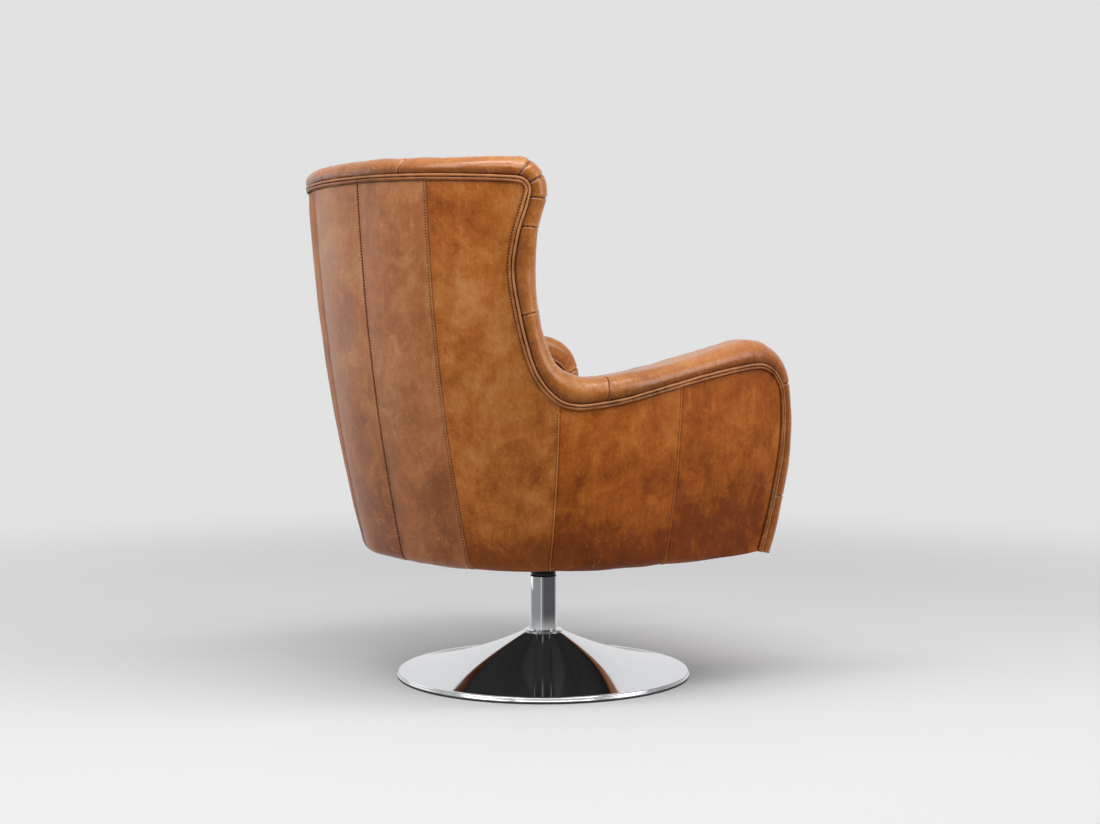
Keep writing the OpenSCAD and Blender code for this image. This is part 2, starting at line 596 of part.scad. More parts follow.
// Outline of the tub in plan at one height, from the rear centre clockwise, cut straight at y
function plan_outline(z, off, y) = let (w1 = w_at_y(y, z),
    half = [for (i = [0 : plan_steps]) let (p = tub(w1 * i / plan_steps, z, off)) [p[0], p[1]]])
    concat(half, [for (i = [plan_steps : -1 : 1]) [-half[i][0], half[i][1]]]);
cloth_t = 1;
module seat_deck() color(black) translate([0, 0, deck_z + gap / 2]) linear_extrude(cloth_t)
    polygon(plan_outline(deck_z, foam_off, front_board_y));
module dust_cover() color(black) translate([0, 0, rail_z - cloth_t - gap / 2]) linear_extrude(cloth_t)
    difference() {
        polygon(plan_outline(rail_z, rail_off + gap, front_board_y));
        square(plate_w + 6, center = true);
    }

// Front border below the cushion

cover_q = 8;
function front_y(z, q) = -arm_foot - front_lean * (z - foot_z) / lean_h - q;
function front_x(z, clear) = let (y = front_y(z, 0)) tub(w_at_y(y, z), z, wall + clear)[0];
module front_cover() color(leather) {
    cols = 8;
    rows = 3;
    grid = [for (q = [cover_q, cover_q - leather_t]) [for (i = [0 : rows])
        let (z = lerp(foot_z, pad_z, i / rows), x = front_x(z, roll_proud + 1))
        [for (j = [0 : cols]) let (u = 1 - 2 * j / cols) [u * x, front_y(z, q + 3 * (1 - u * u)), z]]]];
    slab(grid[0], grid[1]);
}
module front_foam() color(foam) {
    x = front_x(rail_z, welt_d + 2);
    q = cover_q - leather_t - gap;
    rotate([90, 0, 90]) translate([0, 0, -x]) linear_extrude(2 * x)
        polygon([[front_board_y - gap, rail_z], [front_board_y - gap, rail_top],
                 [front_y(rail_top, q), rail_top], [front_y(rail_z, q), rail_z]]);
}

// Seat cushion: crowned top, border drawn in between the corners, flat bottom and two welts

cushion_gap = welt_d + facet_gap;
cushion_z = deck_z + cloth_t + 1;
cushion_cols = 12;
cushion_rows = 8;
front_corner_r = 45;
crown_power = 2.6;
// Point of the cushion's plan at one height. u runs across from -1 to 1 and v from front to rear.
function cushion_pt(u, v, z, inset) =
    let (a = half_w(z) - wall - cushion_gap - inset, c = corner_y(z), k = abs(u),
         b = rear_y(z) - back_pad(z) - cushion_gap - inset - c,
         rear = [u * a, c + b * pow(1 - pow(k, corner_power), 1 / corner_power)],
         af = a - toe_in * pow((c + cushion_front) / side_unit, 2),
         r = front_corner_r - inset, over = max(0, k * af - (af - r)),
         front = [u * af, inset - cushion_front + r - sqrt(max(0, r * r - over * over)) + draw_in * (1 - k * k)],
         pull = draw_in * u * 4 * v * (1 - v))
    [lerp(front[0], rear[0], v) - pull, lerp(front[1], rear[1], v)];
function across(i) = sin(90 * (2 * i / cushion_cols - 1));
// Outline at one height, from the rear centre clockwise as seen from above
function cushion_loop(z, inset) = concat(
    [for (i = [cushion_cols / 2 : cushion_cols]) cushion_pt(across(i), 1, z, inset)],
    [for (j = [cushion_rows - 1 : -1 : 1]) cushion_pt(1, j / cushion_rows, z, inset)],
    [for (i = [cushion_cols : -1 : 0]) cushion_pt(across(i), 0, z, inset)],
    [for (j = [1 : cushion_rows - 1]) cushion_pt(-1, j / cushion_rows, z, inset)],
    [for (i = [0 : cushion_cols / 2 - 1]) cushion_pt(across(i), 1, z, inset)]);
function loop_at(z, inset) = [for (p = cushion_loop(z, inset)) [p[0], p[1], z]];
function crown_at(u, v) = crown * (1 - pow(abs(u), crown_power)) * (1 - pow(abs(2 * v - 1), crown_power));
function cushion_grid(z, inset, drop, rise) = [for (i = [0 : cushion_cols]) [for (j = [0 : cushion_rows])
    let (u = across(i), v = j / cushion_rows, p = cushion_pt(u, v, z, inset))
    [p[0], p[1], z - drop + rise * crown_at(u, v)]]];
module cushion_top() color(leather)
    slab(cushion_grid(cushion_edge_z, 0, 0, 1), cushion_grid(cushion_edge_z, 0, leather_t, 1));
module cushion_border() color(leather) {
    z0 = cushion_z + leather_t + gap;
    z1 = cushion_edge_z - leather_t - gap;
    steps = 2;
    slab([for (k = [0 : steps]) loop_at(lerp(z0, z1, k / steps), 0)],
         [for (k = [0 : steps]) loop_at(lerp(z0, z1, k / steps), leather_t)], true);
}
module cushion_bottom() color(leather_dark) translate([0, 0, cushion_z])
    linear_extrude(leather_t) polygon(cushion_loop(cushion_z, 0));
module cushion_foam() color(foam) {
    skin = leather_t + gap;
    inset = leather_t + facet_gap;
    slab(cushion_grid(cushion_edge_z, inset, skin, 1), cushion_grid(cushion_z + skin, inset, 0, 0));
}
module cushion_welt(z) {
    out = [for (k = [0 : welt_sides - 1]) let (a = 360 * k / welt_sides)
        [-(welt_d / 2 + gap) - welt_d / 2 * cos(a), welt_d / 2 * sin(a)]];
    loops = [for (o = out) cushion_loop(z, o[0])];
    tube([for (i = [len(loops[0]) - 1 : -1 : 0]) [for (k = [0 : welt_sides - 1])
        [loops[k][i][0], loops[k][i][1], z + out[k][1]]]], true);
}
module cushion_welts() color(leather_dark) {
    cushion_welt(cushion_edge_z - welt_d / 2);
    cushion_welt(cushion_z + welt_d / 2 + leather_t);
}

// Base

plate_z = floor_pad_h;
module ring(r0, r1, z, h) translate([0, 0, z]) difference() {
    cylinder(r = r1, h = h);
    translate([0, 0, -1]) cylinder(r = r0, h = h + 2);
}
module floor_pad() color(black) difference() {
    cylinder(r = base_r - 0.5, h = floor_pad_h, $fn = 128);
    translate([0, 0, plate_z - head_h - bolt_gap]) cylinder(r = 2 * base_bolt_r + 1, h = floor_pad_h);
}
module ballast_plate() color(steel) translate([0, 0, plate_z]) difference() {
    cylinder(r = ballast_r, h = ballast_t, $fn = 128);
    translate([0, 0, -1]) cylinder(r = base_bolt_r + bolt_gap, h = ballast_t + 2);
}
rim_h = 5;
trumpet_steps = 14;
neck_gap = 0.3;
// Height of the trumpet's outer face at a share q of the way from the collar to the rim
function trumpet_z(q) = floor_pad_h + rim_h
    + (trumpet_h - floor_pad_h - rim_h) * (0.6 * (1 - q) + 0.4 * pow(1 - q, 2.4));
function trumpet_line(t) = [for (i = [0 : trumpet_steps]) let (q = i / trumpet_steps)
    [lerp(collar_r, base_r - t, q), trumpet_z(q) - t * (q < 1 ? 1.05 : 0.6)]];
module trumpet_base() color(chrome) rotate_extrude($fn = 128)
    polygon(concat([[column_r + neck_gap, trumpet_h]],
        [for (i = [0 : trumpet_steps]) let (q = i / trumpet_steps) [lerp(collar_r, base_r, q), trumpet_z(q)]],
        [[base_r, floor_pad_h], [base_r - trumpet_t, floor_pad_h]],
        [for (i = [trumpet_steps : -1 : 0]) trumpet_line(trumpet_t)[i]],
        [[column_r + neck_gap, trumpet_h - trumpet_t]]));
module trumpet_collar() color(chrome) ring(column_r + 0.1, collar_r, trumpet_h, collar_h);
ballast_r = base_r - ballast_inset;
tube_z = plate_z + ballast_t;
column_in = column_r - column_t;
module column_tube() color(chrome) ring(column_in, column_r, tube_z, column_top - tube_z);
plug_h = 18;
base_bolt_r = 6;
head_h = 2.2;
module column_plug() color(steel) ring(base_bolt_r + 0.1, column_in, tube_z, plug_h);
module base_bolt() color(steel) {
    translate([0, 0, plate_z - head_h]) cylinder(r = 2 * base_bolt_r, h = head_h, $fn = 6);
    translate([0, 0, plate_z]) cylinder(r = base_bolt_r, h = ballast_t + plug_h);
}

// Swivel: spindle in two bushes, its shoulder on a thrust bearing

clip_h = 1.5;
lower_bush_z = tube_z + plug_h + 14;
race_z = lower_bush_z + bush_l;
ball_z = race_z + race_t + run_gap + ball_d / 2;
shoulder_z = ball_z + ball_d / 2 + run_gap + race_t;
pitch_r = (pin_r + column_in) / 2;
sleeve_z = column_top + sleeve_gap;
plate_bottom = rail_z - 2 * gap - cloth_t - plate_t;
module lower_bush() color(black) ring(pin_r + run_gap, column_in, lower_bush_z, bush_l);
module upper_bush() color(black) ring(spindle_r + run_gap, column_in, column_top - bush_l, bush_l);
module lower_race() color(steel) ring(pin_r + 1, column_in - 0.5, race_z, race_t);
module upper_race() color(steel) ring(pin_r, column_in - 0.5, shoulder_z - race_t, race_t);
cage_h = 2.4;
cage_play = 0.2;
module at_balls() for (i = [0 : ball_count - 1]) rotate([0, 0, 360 * i / ball_count])
    translate([pitch_r, 0, ball_z]) children();
module ball_cage() color("goldenrod") difference() {
    ring(pin_r + 0.6, column_in - 1, ball_z - cage_h / 2, cage_h);
    at_balls() translate([0, 0, -cage_h]) cylinder(r = ball_d / 2 + cage_play, h = 2 * cage_h);
}
module bearing_balls() color(steel) at_balls() sphere(r = ball_d / 2);
clip_z = lower_bush_z - 1 - clip_h;
module spindle() color(steel) difference() {
    union() {
        translate([0, 0, clip_z - 4]) cylinder(r = pin_r, h = shoulder_z - clip_z + 4);
        translate([0, 0, shoulder_z]) cylinder(r = spindle_r, h = plate_bottom - shoulder_z);
    }
    ring(pin_r - 1, pin_r + 1, clip_z, clip_h);
}
module spindle_clip() color(steel) ring(pin_r - 1, pin_r + 4, clip_z, clip_h);
module spindle_sleeve() color(black) ring(spindle_r, sleeve_r, sleeve_z, plate_bottom - sleeve_z);
module at_bolts() for (x = [-1, 1], y = [-1, 1])
    translate([x * bolt_pitch / 2, y * bolt_pitch / 2, 0]) children();
module swivel_plate() color(black) difference() {
    translate([-plate_w / 2, -plate_w / 2, plate_bottom]) cube([plate_w, plate_w, plate_t]);
    at_bolts() translate([0, 0, plate_bottom - 1]) cylinder(r = bolt_r + bolt_gap, h = plate_t + 2);
}
tee_r = bolt_r + 2;
bolt_head_h = 4.5;
module plate_bolts() color(steel) at_bolts() {
    translate([0, 0, plate_bottom - bolt_head_h]) cylinder(r = bolt_r * 1.8, h = bolt_head_h, $fn = 6);
    translate([0, 0, plate_bottom]) cylinder(r = bolt_r, h = rail_z + bearer_h - plate_bottom);
}
module tee_nuts() color(steel) at_bolts() {
    ring(bolt_r + 0.05, tee_r, rail_z, bearer_h);
    ring(bolt_r + 0.05, tee_r + 6, rail_z + bearer_h, 1.5);
}

floor_pad();
ballast_plate();
trumpet_base();
trumpet_collar();
column_tube();
column_plug();
base_bolt();
lower_bush();
upper_bush();
lower_race();
ball_cage();
bearing_balls();
spindle();
upper_race();
spindle_clip();
spindle_sleeve();
swivel_plate();
plate_bolts();
tee_nuts();
bearers();
tub_base_rail();
front_rail();
rear_rail();
corner_blocks();
frame_posts();
rim_rails();
rear_board();
side_board_left();
side_board_right();
seat_springs();
seat_deck();
dust_cover();
back_foam();
side_foam_left();
side_foam_right();
front_foam();
cushion_foam();
cushion_top();
cushion_border();
cushion_bottom();
cushion_welts();
front_cover();
inner_back();
inner_side_left();
inner_side_right();
rear_panel_left();
rear_panel_right();
wing_panel_left();
wing_panel_right();
side_panel_left();
side_panel_right();
arm_panel_left();
arm_panel_right();
facing_top();
facing_wing_left();
facing_wing_right();
facing_arm_left();
facing_arm_right();
outer_welts();
inner_welt();
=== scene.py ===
import json
import math
import bmesh
import bpy
import numpy as np
from mathutils import Matrix, Vector
from mathutils.bvhtree import BVHTree


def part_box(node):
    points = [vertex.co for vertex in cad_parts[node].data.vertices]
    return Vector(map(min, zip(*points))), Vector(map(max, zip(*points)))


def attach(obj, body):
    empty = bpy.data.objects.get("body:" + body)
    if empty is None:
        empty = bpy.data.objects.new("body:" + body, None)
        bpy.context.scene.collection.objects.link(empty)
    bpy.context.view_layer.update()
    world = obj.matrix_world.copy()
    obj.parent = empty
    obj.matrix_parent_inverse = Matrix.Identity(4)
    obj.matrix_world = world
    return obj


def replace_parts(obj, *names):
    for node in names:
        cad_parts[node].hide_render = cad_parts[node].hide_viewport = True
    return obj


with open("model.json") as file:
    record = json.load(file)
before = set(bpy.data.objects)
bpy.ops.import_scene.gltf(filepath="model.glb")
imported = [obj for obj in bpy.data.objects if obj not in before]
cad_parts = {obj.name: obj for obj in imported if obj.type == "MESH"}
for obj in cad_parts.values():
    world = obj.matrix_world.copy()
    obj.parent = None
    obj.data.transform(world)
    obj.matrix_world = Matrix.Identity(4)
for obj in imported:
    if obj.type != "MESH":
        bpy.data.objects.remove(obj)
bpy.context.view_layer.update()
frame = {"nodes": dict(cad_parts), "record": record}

SEAT = "seat"
MM = 0.001

# The tub's curved frame, in millimetres, as in the part's source: w runs round the plan, z is the height

BOTTOM, RIM, BACK_RISE = 237.0, 881.0, 14.0
WALL, LUMBAR, LUMBAR_Z, DECK = 75.0, 62.0, 520.0, 316.0
# Half widths and rear ends at the bottom, half way up and at the rim, and the corner's depths at the bottom and the rim
HALF_WIDTHS, REAR_ENDS, CORNER_DEPTHS = (323.0, 355.0, 329.0), (309.0, 369.0, 400.0), (384.0, 237.0)
# In front of the corners: the length of one unit of w, how far the sides draw in over it, and the lower edge's rise
SIDE_RUN, SIDE_DRAW, FOOT_RISE = 500.0, 40.0, 9.0
POWER, CUSHION_FRONT = 2.56, 306.0
ARM_Z, ARM_Y, FOOT_Y, DIP_Z, DIP_Y, WING_Y, TIP_Y = 575.0, -275.0, -242.0, 515.0, 179.0, 293.0, 274.0
TUCK = 14.0
PAD_Z = DECK + 2
FOOT_Z = BOTTOM + 6
FRONT_LEAN, FRONT_LEAN_H = 16.0, 80.0


def lerp(a, b, t):
    return a + (b - a) * t


def smooth(t):
    c = np.clip(t, 0, 1)
    return c * c * (3 - 2 * c)


def through3(a, m, b, t):
    return a * (1 - t) * (1 - 2 * t) + 4 * m * t * (1 - t) + b * t * (2 * t - 1)


def rise(z):
    return (z - BOTTOM) / (RIM - BOTTOM)


def half_w(z):
    return through3(*HALF_WIDTHS, rise(z))


def rear_y(z):
    return through3(*REAR_ENDS, rise(z))


def corner_depth(z):
    return lerp(*CORNER_DEPTHS, np.maximum(rise(z), 0) ** 2)


def corner_y(z):
    return rear_y(z) - corner_depth(z)


def bottom_z(w):
    return BOTTOM + FOOT_RISE * (np.maximum(0, np.abs(w) - 1) / 0.5) ** 2


def back_pad(z):
    upper = smooth((RIM - z) / (RIM - LUMBAR_Z))
    lower = 1 - 0.12 * smooth((LUMBAR_Z - z) / (LUMBAR_Z - DECK))
    return WALL + LUMBAR * np.where(z > LUMBAR_Z, upper, lower)


def tub(w, z, off=0.0, rear=None, tucked=False):
    """Points of the tub's outer surface, off deep at the sides and rear deep at the back."""
    w, z, off = np.broadcast_arrays(np.asarray(w, float), np.asarray(z, float), np.asarray(off, float))
    rear = off if rear is None else rear
    k, side = np.abs(w), np.where(w < 0, -1.0, 1.0)
    t = 0.0
    if tucked:
        h = np.clip(z - bottom_z(w), 0, TUCK)
        t = (TUCK - np.sqrt(TUCK ** 2 - (TUCK - h) ** 2)) * (1 - smooth((k - 0.9) / 0.4))
    a = half_w(z) - off - t
    c = corner_y(z)
    b = rear_y(z) - rear - t - c
    kk = np.minimum(k, 1) * math.pi / 2
    s, q = np.sin(kk), np.maximum(np.cos(kk), 0)
    rho = ((s / a) ** POWER + (q / b) ** POWER) ** (-1 / POWER)
    x = np.where(k <= 1, rho * s, a - SIDE_DRAW * (k - 1) ** 2)
    y = np.where(k <= 1, c + rho * q, c - (k - 1) * SIDE_RUN)
    # The back rises towards its centre, above the lumbar
    lift = BACK_RISE * np.maximum(0, 1 - (k / 0.9) ** 2) * smooth((z - LUMBAR_Z) / (RIM - LUMBAR_Z))
    return np.stack([side * x, y, z + lift], -1)


def pad(w, z):
    return tub(w, z, WALL, back_pad(z))


def w_at_y(y, z):
    c, b = corner_y(z), corner_depth(z)
    f = np.clip((y - c) / b, 0, 1) ** POWER
    inner = np.degrees(np.arctan2(half_w(z) * (1 - f) ** (1 / POWER), np.maximum(y - c, 1e-9))) / 90
    return np.where(y <= c, 1 + (c - y) / SIDE_RUN, inner)


def w_at_x(x, z):
    return np.degrees(np.arctan2(x, corner_depth(z) * (1 - (x / half_w(z)) ** POWER) ** (1 / POWER))) / 90


def span(a, b):
    return lambda t: lerp(a, b, t)


# The edge of the outer panels: y, z and the height of the rim's roll, from the arm's foot to the wing's tip
ROLL_H = 50.0
arm_y, arm_z, dip_z = span(ARM_Y, DIP_Y), span(FOOT_Z, ARM_Z), span(ARM_Z, DIP_Z)
wing_y, wing_z, tip_y = span(DIP_Y, WING_Y), span(DIP_Z, RIM), span(WING_Y, TIP_Y)
POINTS = np.array([
    (FOOT_Y, FOOT_Z, 0.8), (FOOT_Y - FRONT_LEAN, FOOT_Z + FRONT_LEAN_H, 0.82), (ARM_Y, arm_z(0.579), 0.72),
    (arm_y(0.002), arm_z(0.823), 0.64), (arm_y(0.029), arm_z(0.9235), 0.818), (arm_y(0.0845), arm_z(0.9835), 0.86),
    (arm_y(0.168), ARM_Z, 0.85), (arm_y(0.38), dip_z(0.19), 0.7), (arm_y(0.6195), dip_z(0.515), 0.67),
    (arm_y(0.817), dip_z(0.823), 0.8), (arm_y(0.9635), dip_z(0.98), 0.9), (wing_y(0.113), wing_z(0.004), 0.97),
    (wing_y(0.331), wing_z(0.0292), 1.0), (wing_y(0.564), wing_z(0.1063), 0.83), (wing_y(0.724), wing_z(0.211), 0.726),
    (wing_y(0.888), wing_z(0.3915), 0.69), (WING_Y, wing_z(0.5926), 0.834), (tip_y(0.18), wing_z(0.753), 0.75),
    (tip_y(0.737), wing_z(0.883), 0.72), (TIP_Y, wing_z(0.955), 0.774), (tip_y(0.663), wing_z(0.991), 0.8),
    (WING_Y, RIM, 0.68)], float) * (1, 1, ROLL_H)


def catmull(p, n):
    q = np.vstack([p[:1], p, p[-1:]])
    t = np.linspace(0, 1, n, endpoint=False)[:, None]
    rows = [0.5 * (2 * b + (c - a) * t + (2 * a - 5 * b + 4 * c - d) * t ** 2 + (3 * b - a - 3 * c + d) * t ** 3)
            for a, b, c, d in zip(q, q[1:], q[2:], q[3:])]
    return np.vstack(rows)


def lengths_along(p, axis=0):
    """Length from the first point of a path, or along each row or column of a grid of points."""
    steps = np.linalg.norm(np.diff(p, axis=axis), axis=-1)
    return np.concatenate([np.zeros_like(steps.take([0], axis)), np.cumsum(steps, axis)], axis)


# The edge in fine steps: its w, z, height of the roll and length so far, up to the middle of the top
PER, TOP_STEPS = 16, 161
side = catmull(POINTS, PER)
side_w = w_at_y(side[:, 0], side[:, 1])
top_w0 = float(w_at_y(POINTS[-1, 0], RIM))
k = np.linspace(0, 1, TOP_STEPS)
EW = np.concatenate([side_w, top_w0 * (1 - k)])
EZ = np.concatenate([side[:, 1], np.full(TOP_STEPS, RIM)])
EH = np.concatenate([side[:, 2], lerp(side[-1, 2], 0.6 * ROLL_H, np.minimum(1, 3 * k))])
EL = lengths_along(tub(EW, EZ))
HALF, WHOLE = EL[-1], 2 * EL[-1]


def place(i):
    """Length along the edge up to a point of the list above, whole or not."""
    return float(np.interp(i * PER, np.arange(len(EL)), EL))


SIDE_SEAM_Y, ARM_SEAM_Y = 192.0, -11.0
SIDE_L, ARM_L, CORNER_L, TIP_L = place(11.86), place(7.75), place(4), place(20)


def edge_wz(l):
    return np.stack([np.interp(l, EL, EW), np.interp(l, EL, EZ)], -1)


# Direction square to the edge in the surface, as w and z per millimetre
step = 6.0
ends = [edge_wz(np.clip(EL + s * step, 0, HALF)) for s in (-1, 1)]
dw, dz = (ends[1] - ends[0]).T
dw = np.where(EL > HALF - step, -0.01, dw)
along_w = (tub(EW + 0.01, EZ) - tub(EW - 0.01, EZ)) / 0.02
along_z = (tub(EW, EZ + 2) - tub(EW, EZ - 2)) / 4
tangent = dw[:, None] * along_w + dz[:, None] * along_z
g, h = (along_z * tangent).sum(1), -(along_w * tangent).sum(1)
size = np.linalg.norm(g[:, None] * along_w + h[:, None] * along_z, axis=1)
OW, OZ = g / size, h / size


def folded(l):
    """The length of the same place on the left half of the edge."""
    return np.where(l > HALF, WHOLE - l, l)


def edge_pt(l, p, q):
    """Point of the whole edge, from the left foot over the top to the right foot, p deep and q beyond the edge."""
    l, p, q = np.broadcast_arrays(np.asarray(l, float), np.asarray(p, float), np.asarray(q, float))
    m = folded(l)
    w = np.interp(m, EL, EW) + q * np.interp(m, EL, OW)
    z = np.interp(m, EL, EZ) + q * np.interp(m, EL, OZ)
    pts = tub(w, z, p, p * back_pad(z) / WALL)
    pts[..., 0] *= np.where(l > HALF, -1, 1)
    return pts


def roll_h(l):
    return np.interp(folded(l), EL, EH)


# Smooth bumps that are the same each run


def waves(pts, length, seed, count=9):
    rng = np.random.default_rng(seed)
    d = rng.normal(size=(count, 3))
    d /= np.linalg.norm(d, axis=1)[:, None]
    f = 2 * math.pi / (length * rng.uniform(0.7, 1.5, count))
    a = rng.uniform(0, 2 * math.pi, count)
    return np.sin((pts @ d.T) * f + a).sum(-1) / math.sqrt(count)


def bell(d, width):
    return np.exp(-(d / width) ** 2)


def normals(p):
    n = np.cross(np.gradient(p, axis=1), np.gradient(p, axis=0))
    return n / np.maximum(np.linalg.norm(n, axis=-1, keepdims=True), 1e-9)


# Meshes


def new_object(name, mesh):
    o = bpy.data.objects.new(name, mesh)
    bpy.context.scene.collection.objects.link(o)
    return o

def edit_mesh(mesh, change):
    bm = bmesh.new()
    bm.from_mesh(mesh)
    change(bm)
    bm.to_mesh(mesh)
    bm.free()


def set_tone(mesh, values):
    attribute = mesh.attributes.get("tone") or mesh.attributes.new("tone", "FLOAT", "POINT")
    attribute.data.foreach_set("value", values.astype(np.float32))


def set_points(mesh, co):
    mesh.vertices.foreach_set("co", co.astype(np.float32).ravel())
    mesh.update()


def grid_faces(ny, nx, start=0, wrap=False):
    i, j = np.meshgrid(np.arange(ny - 1), np.arange(nx if wrap else nx - 1), indexing="ij")
    a = start + i * nx + j
    b = start + i * nx + (j + 1) % nx
    return np.stack([a, b, b + nx, a + nx], -1).reshape(-1, 4)


def build(name, parts, material, body=SEAT, merge=0.0, tone=None):
    """One piece from grids or vertex and face lists, in millimetres. tone is a number per vertex for the leather, which
    carries painted shade and highlights as well as seam lines.
    """
    verts, faces, tones = [], [], []
    count = 0
    for part in parts:
        if isinstance(part, dict):
            v, f = part["v"], [tuple(x + count for x in y) for y in part["f"]]
        else:
            v = part.reshape(-1, 3)
            f = [tuple(x) for x in grid_faces(part.shape[0], part.shape[1], count)]
        verts.append(v)
        faces += f
        count += len(v)
    mesh = bpy.data.meshes.new(name)
    mesh.from_pydata((np.vstack(verts) * MM).tolist(), [], faces)
    if tone is not None:
        set_tone(mesh, np.concatenate([t.reshape(-1) for t in tone]))
    if merge:
        edit_mesh(mesh, lambda bm: bmesh.ops.remove_doubles(bm, verts=bm.verts, dist=merge * MM))
    mesh.shade_smooth()
    o = new_object(name, mesh)
    o.data.materials.append(material)
    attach(o, body)
    return o


FLIP_X = np.array([-1.0, 1, 1])


def mirror(grid):
    return (grid * FLIP_X)[:, ::-1]


def tube_grid(path, r, sides, loop=False):
    """Rings round a path, as a grid whose last column repeats the first."""
    t = np.roll(path, -1, 0) - np.roll(path, 1, 0) if loop else np.gradient(path, axis=0)
    t /= np.linalg.norm(t, axis=1)[:, None]
    # One direction carried along the path, so that the rings don't twist
    n = np.cross(t[0], (1.0, 0, 0) if abs(t[0, 2]) > 0.95 else (0, 0, 1.0))
    rows = []
    for d in t:
        n = n - d * n.dot(d)
        n /= np.linalg.norm(n)
        rows.append(n)
    n = np.array(rows)
    b = np.cross(t, n)
    a = np.linspace(0, 2 * math.pi, sides + 1)[None, :, None]
    r = np.broadcast_to(np.asarray(r, float), (len(path),))[:, None, None]
    out = path[:, None] + r * (np.cos(a) * n[:, None] + np.sin(a) * b[:, None])
    return np.vstack([out, out[:1]]) if loop else out


# Materials


def material(name, rough=0.5, metal=0.0, colour=(0.5, 0.5, 0.5), **sockets):
    m = bpy.data.materials.new(name)
    m.use_nodes = True
    nt = m.node_tree
    bsdf = nt.nodes["Principled BSDF"]
    bsdf.inputs["Roughness"].default_value = rough
    bsdf.inputs["Metallic"].default_value = metal
    bsdf.inputs["Base Color"].default_value = (*colour, 1)
    for key, value in sockets.items():
        bsdf.inputs[key.replace("_", " ")].default_value = value
    return m, nt, bsdf


def wire(nt, n, inputs):
    """Sets each input of a node to a value, or links it to a socket."""
    for key, value in inputs.items():
        if isinstance(value, bpy.types.NodeSocket):
            nt.links.new(value, n.inputs[key])
        else:
            n.inputs[key].default_value = value
    return n


def node(nt, kind, inputs=None, **values):
    """New shader node, its kind named without the word ShaderNode, with its attributes and inputs set."""
    n = nt.nodes.new("ShaderNode" + kind)
    for key, value in values.items():
        setattr(n, key, value)
    return wire(nt, n, inputs or {})


def coords(nt, scale=(1, 1, 1), rotation=(0, 0, 0)):
    vector = node(nt, "TexCoord").outputs["Object"]
    return node(nt, "Mapping", {"Vector": vector, "Scale": scale, "Rotation": rotation}).outputs["Vector"]


def noise(nt, vector, scale, detail=4.0, rough=0.55, distortion=0.0):
    return node(nt, "TexNoise", {"Vector": vector, "Scale": scale, "Detail": detail, "Roughness": rough,
                                           "Distortion": distortion}).outputs["Fac"]


def ramp(nt, fac, stops):
    r = node(nt, "ValToRGB", {"Fac": fac})
    while len(r.color_ramp.elements) < len(stops):
        r.color_ramp.elements.new(0.5)
    for e, (pos, col) in zip(r.color_ramp.elements, stops):
        e.position = pos
        e.color = (*col, 1)
    return r.outputs["Color"]


def mix(nt, fac, a, b, blend="MIX"):
    a, b = ((*c, 1) if isinstance(c, tuple) else c for c in (a, b))
    return node(nt, "Mix", {0: fac, 6: a, 7: b}, data_type="RGBA", blend_type=blend).outputs[2]


def calc(nt, op, a, b=0.0, clamp=False):
    return node(nt, "Math", {0: a, 1: b}, operation=op, use_clamp=clamp).outputs[0]


def to_range(nt, value, a, b, c=0.0, d=1.0, **values):
    inputs = {"Value": value, "From Min": a, "From Max": b, "To Min": c, "To Max": d}
    return node(nt, "MapRange", inputs, **values).outputs["Result"]


def bump(nt, bsdf, layers):
    """Layers of height, each (value, strength, distance in metres)."""
    last = None
    for value, strength, distance in layers:
        b = node(nt, "Bump", {"Strength": strength, "Distance": distance, "Height": value})
        if last is not None:
            nt.links.new(last, b.inputs["Normal"])
        last = b.outputs["Normal"]
    nt.links.new(last, bsdf.inputs["Normal"])


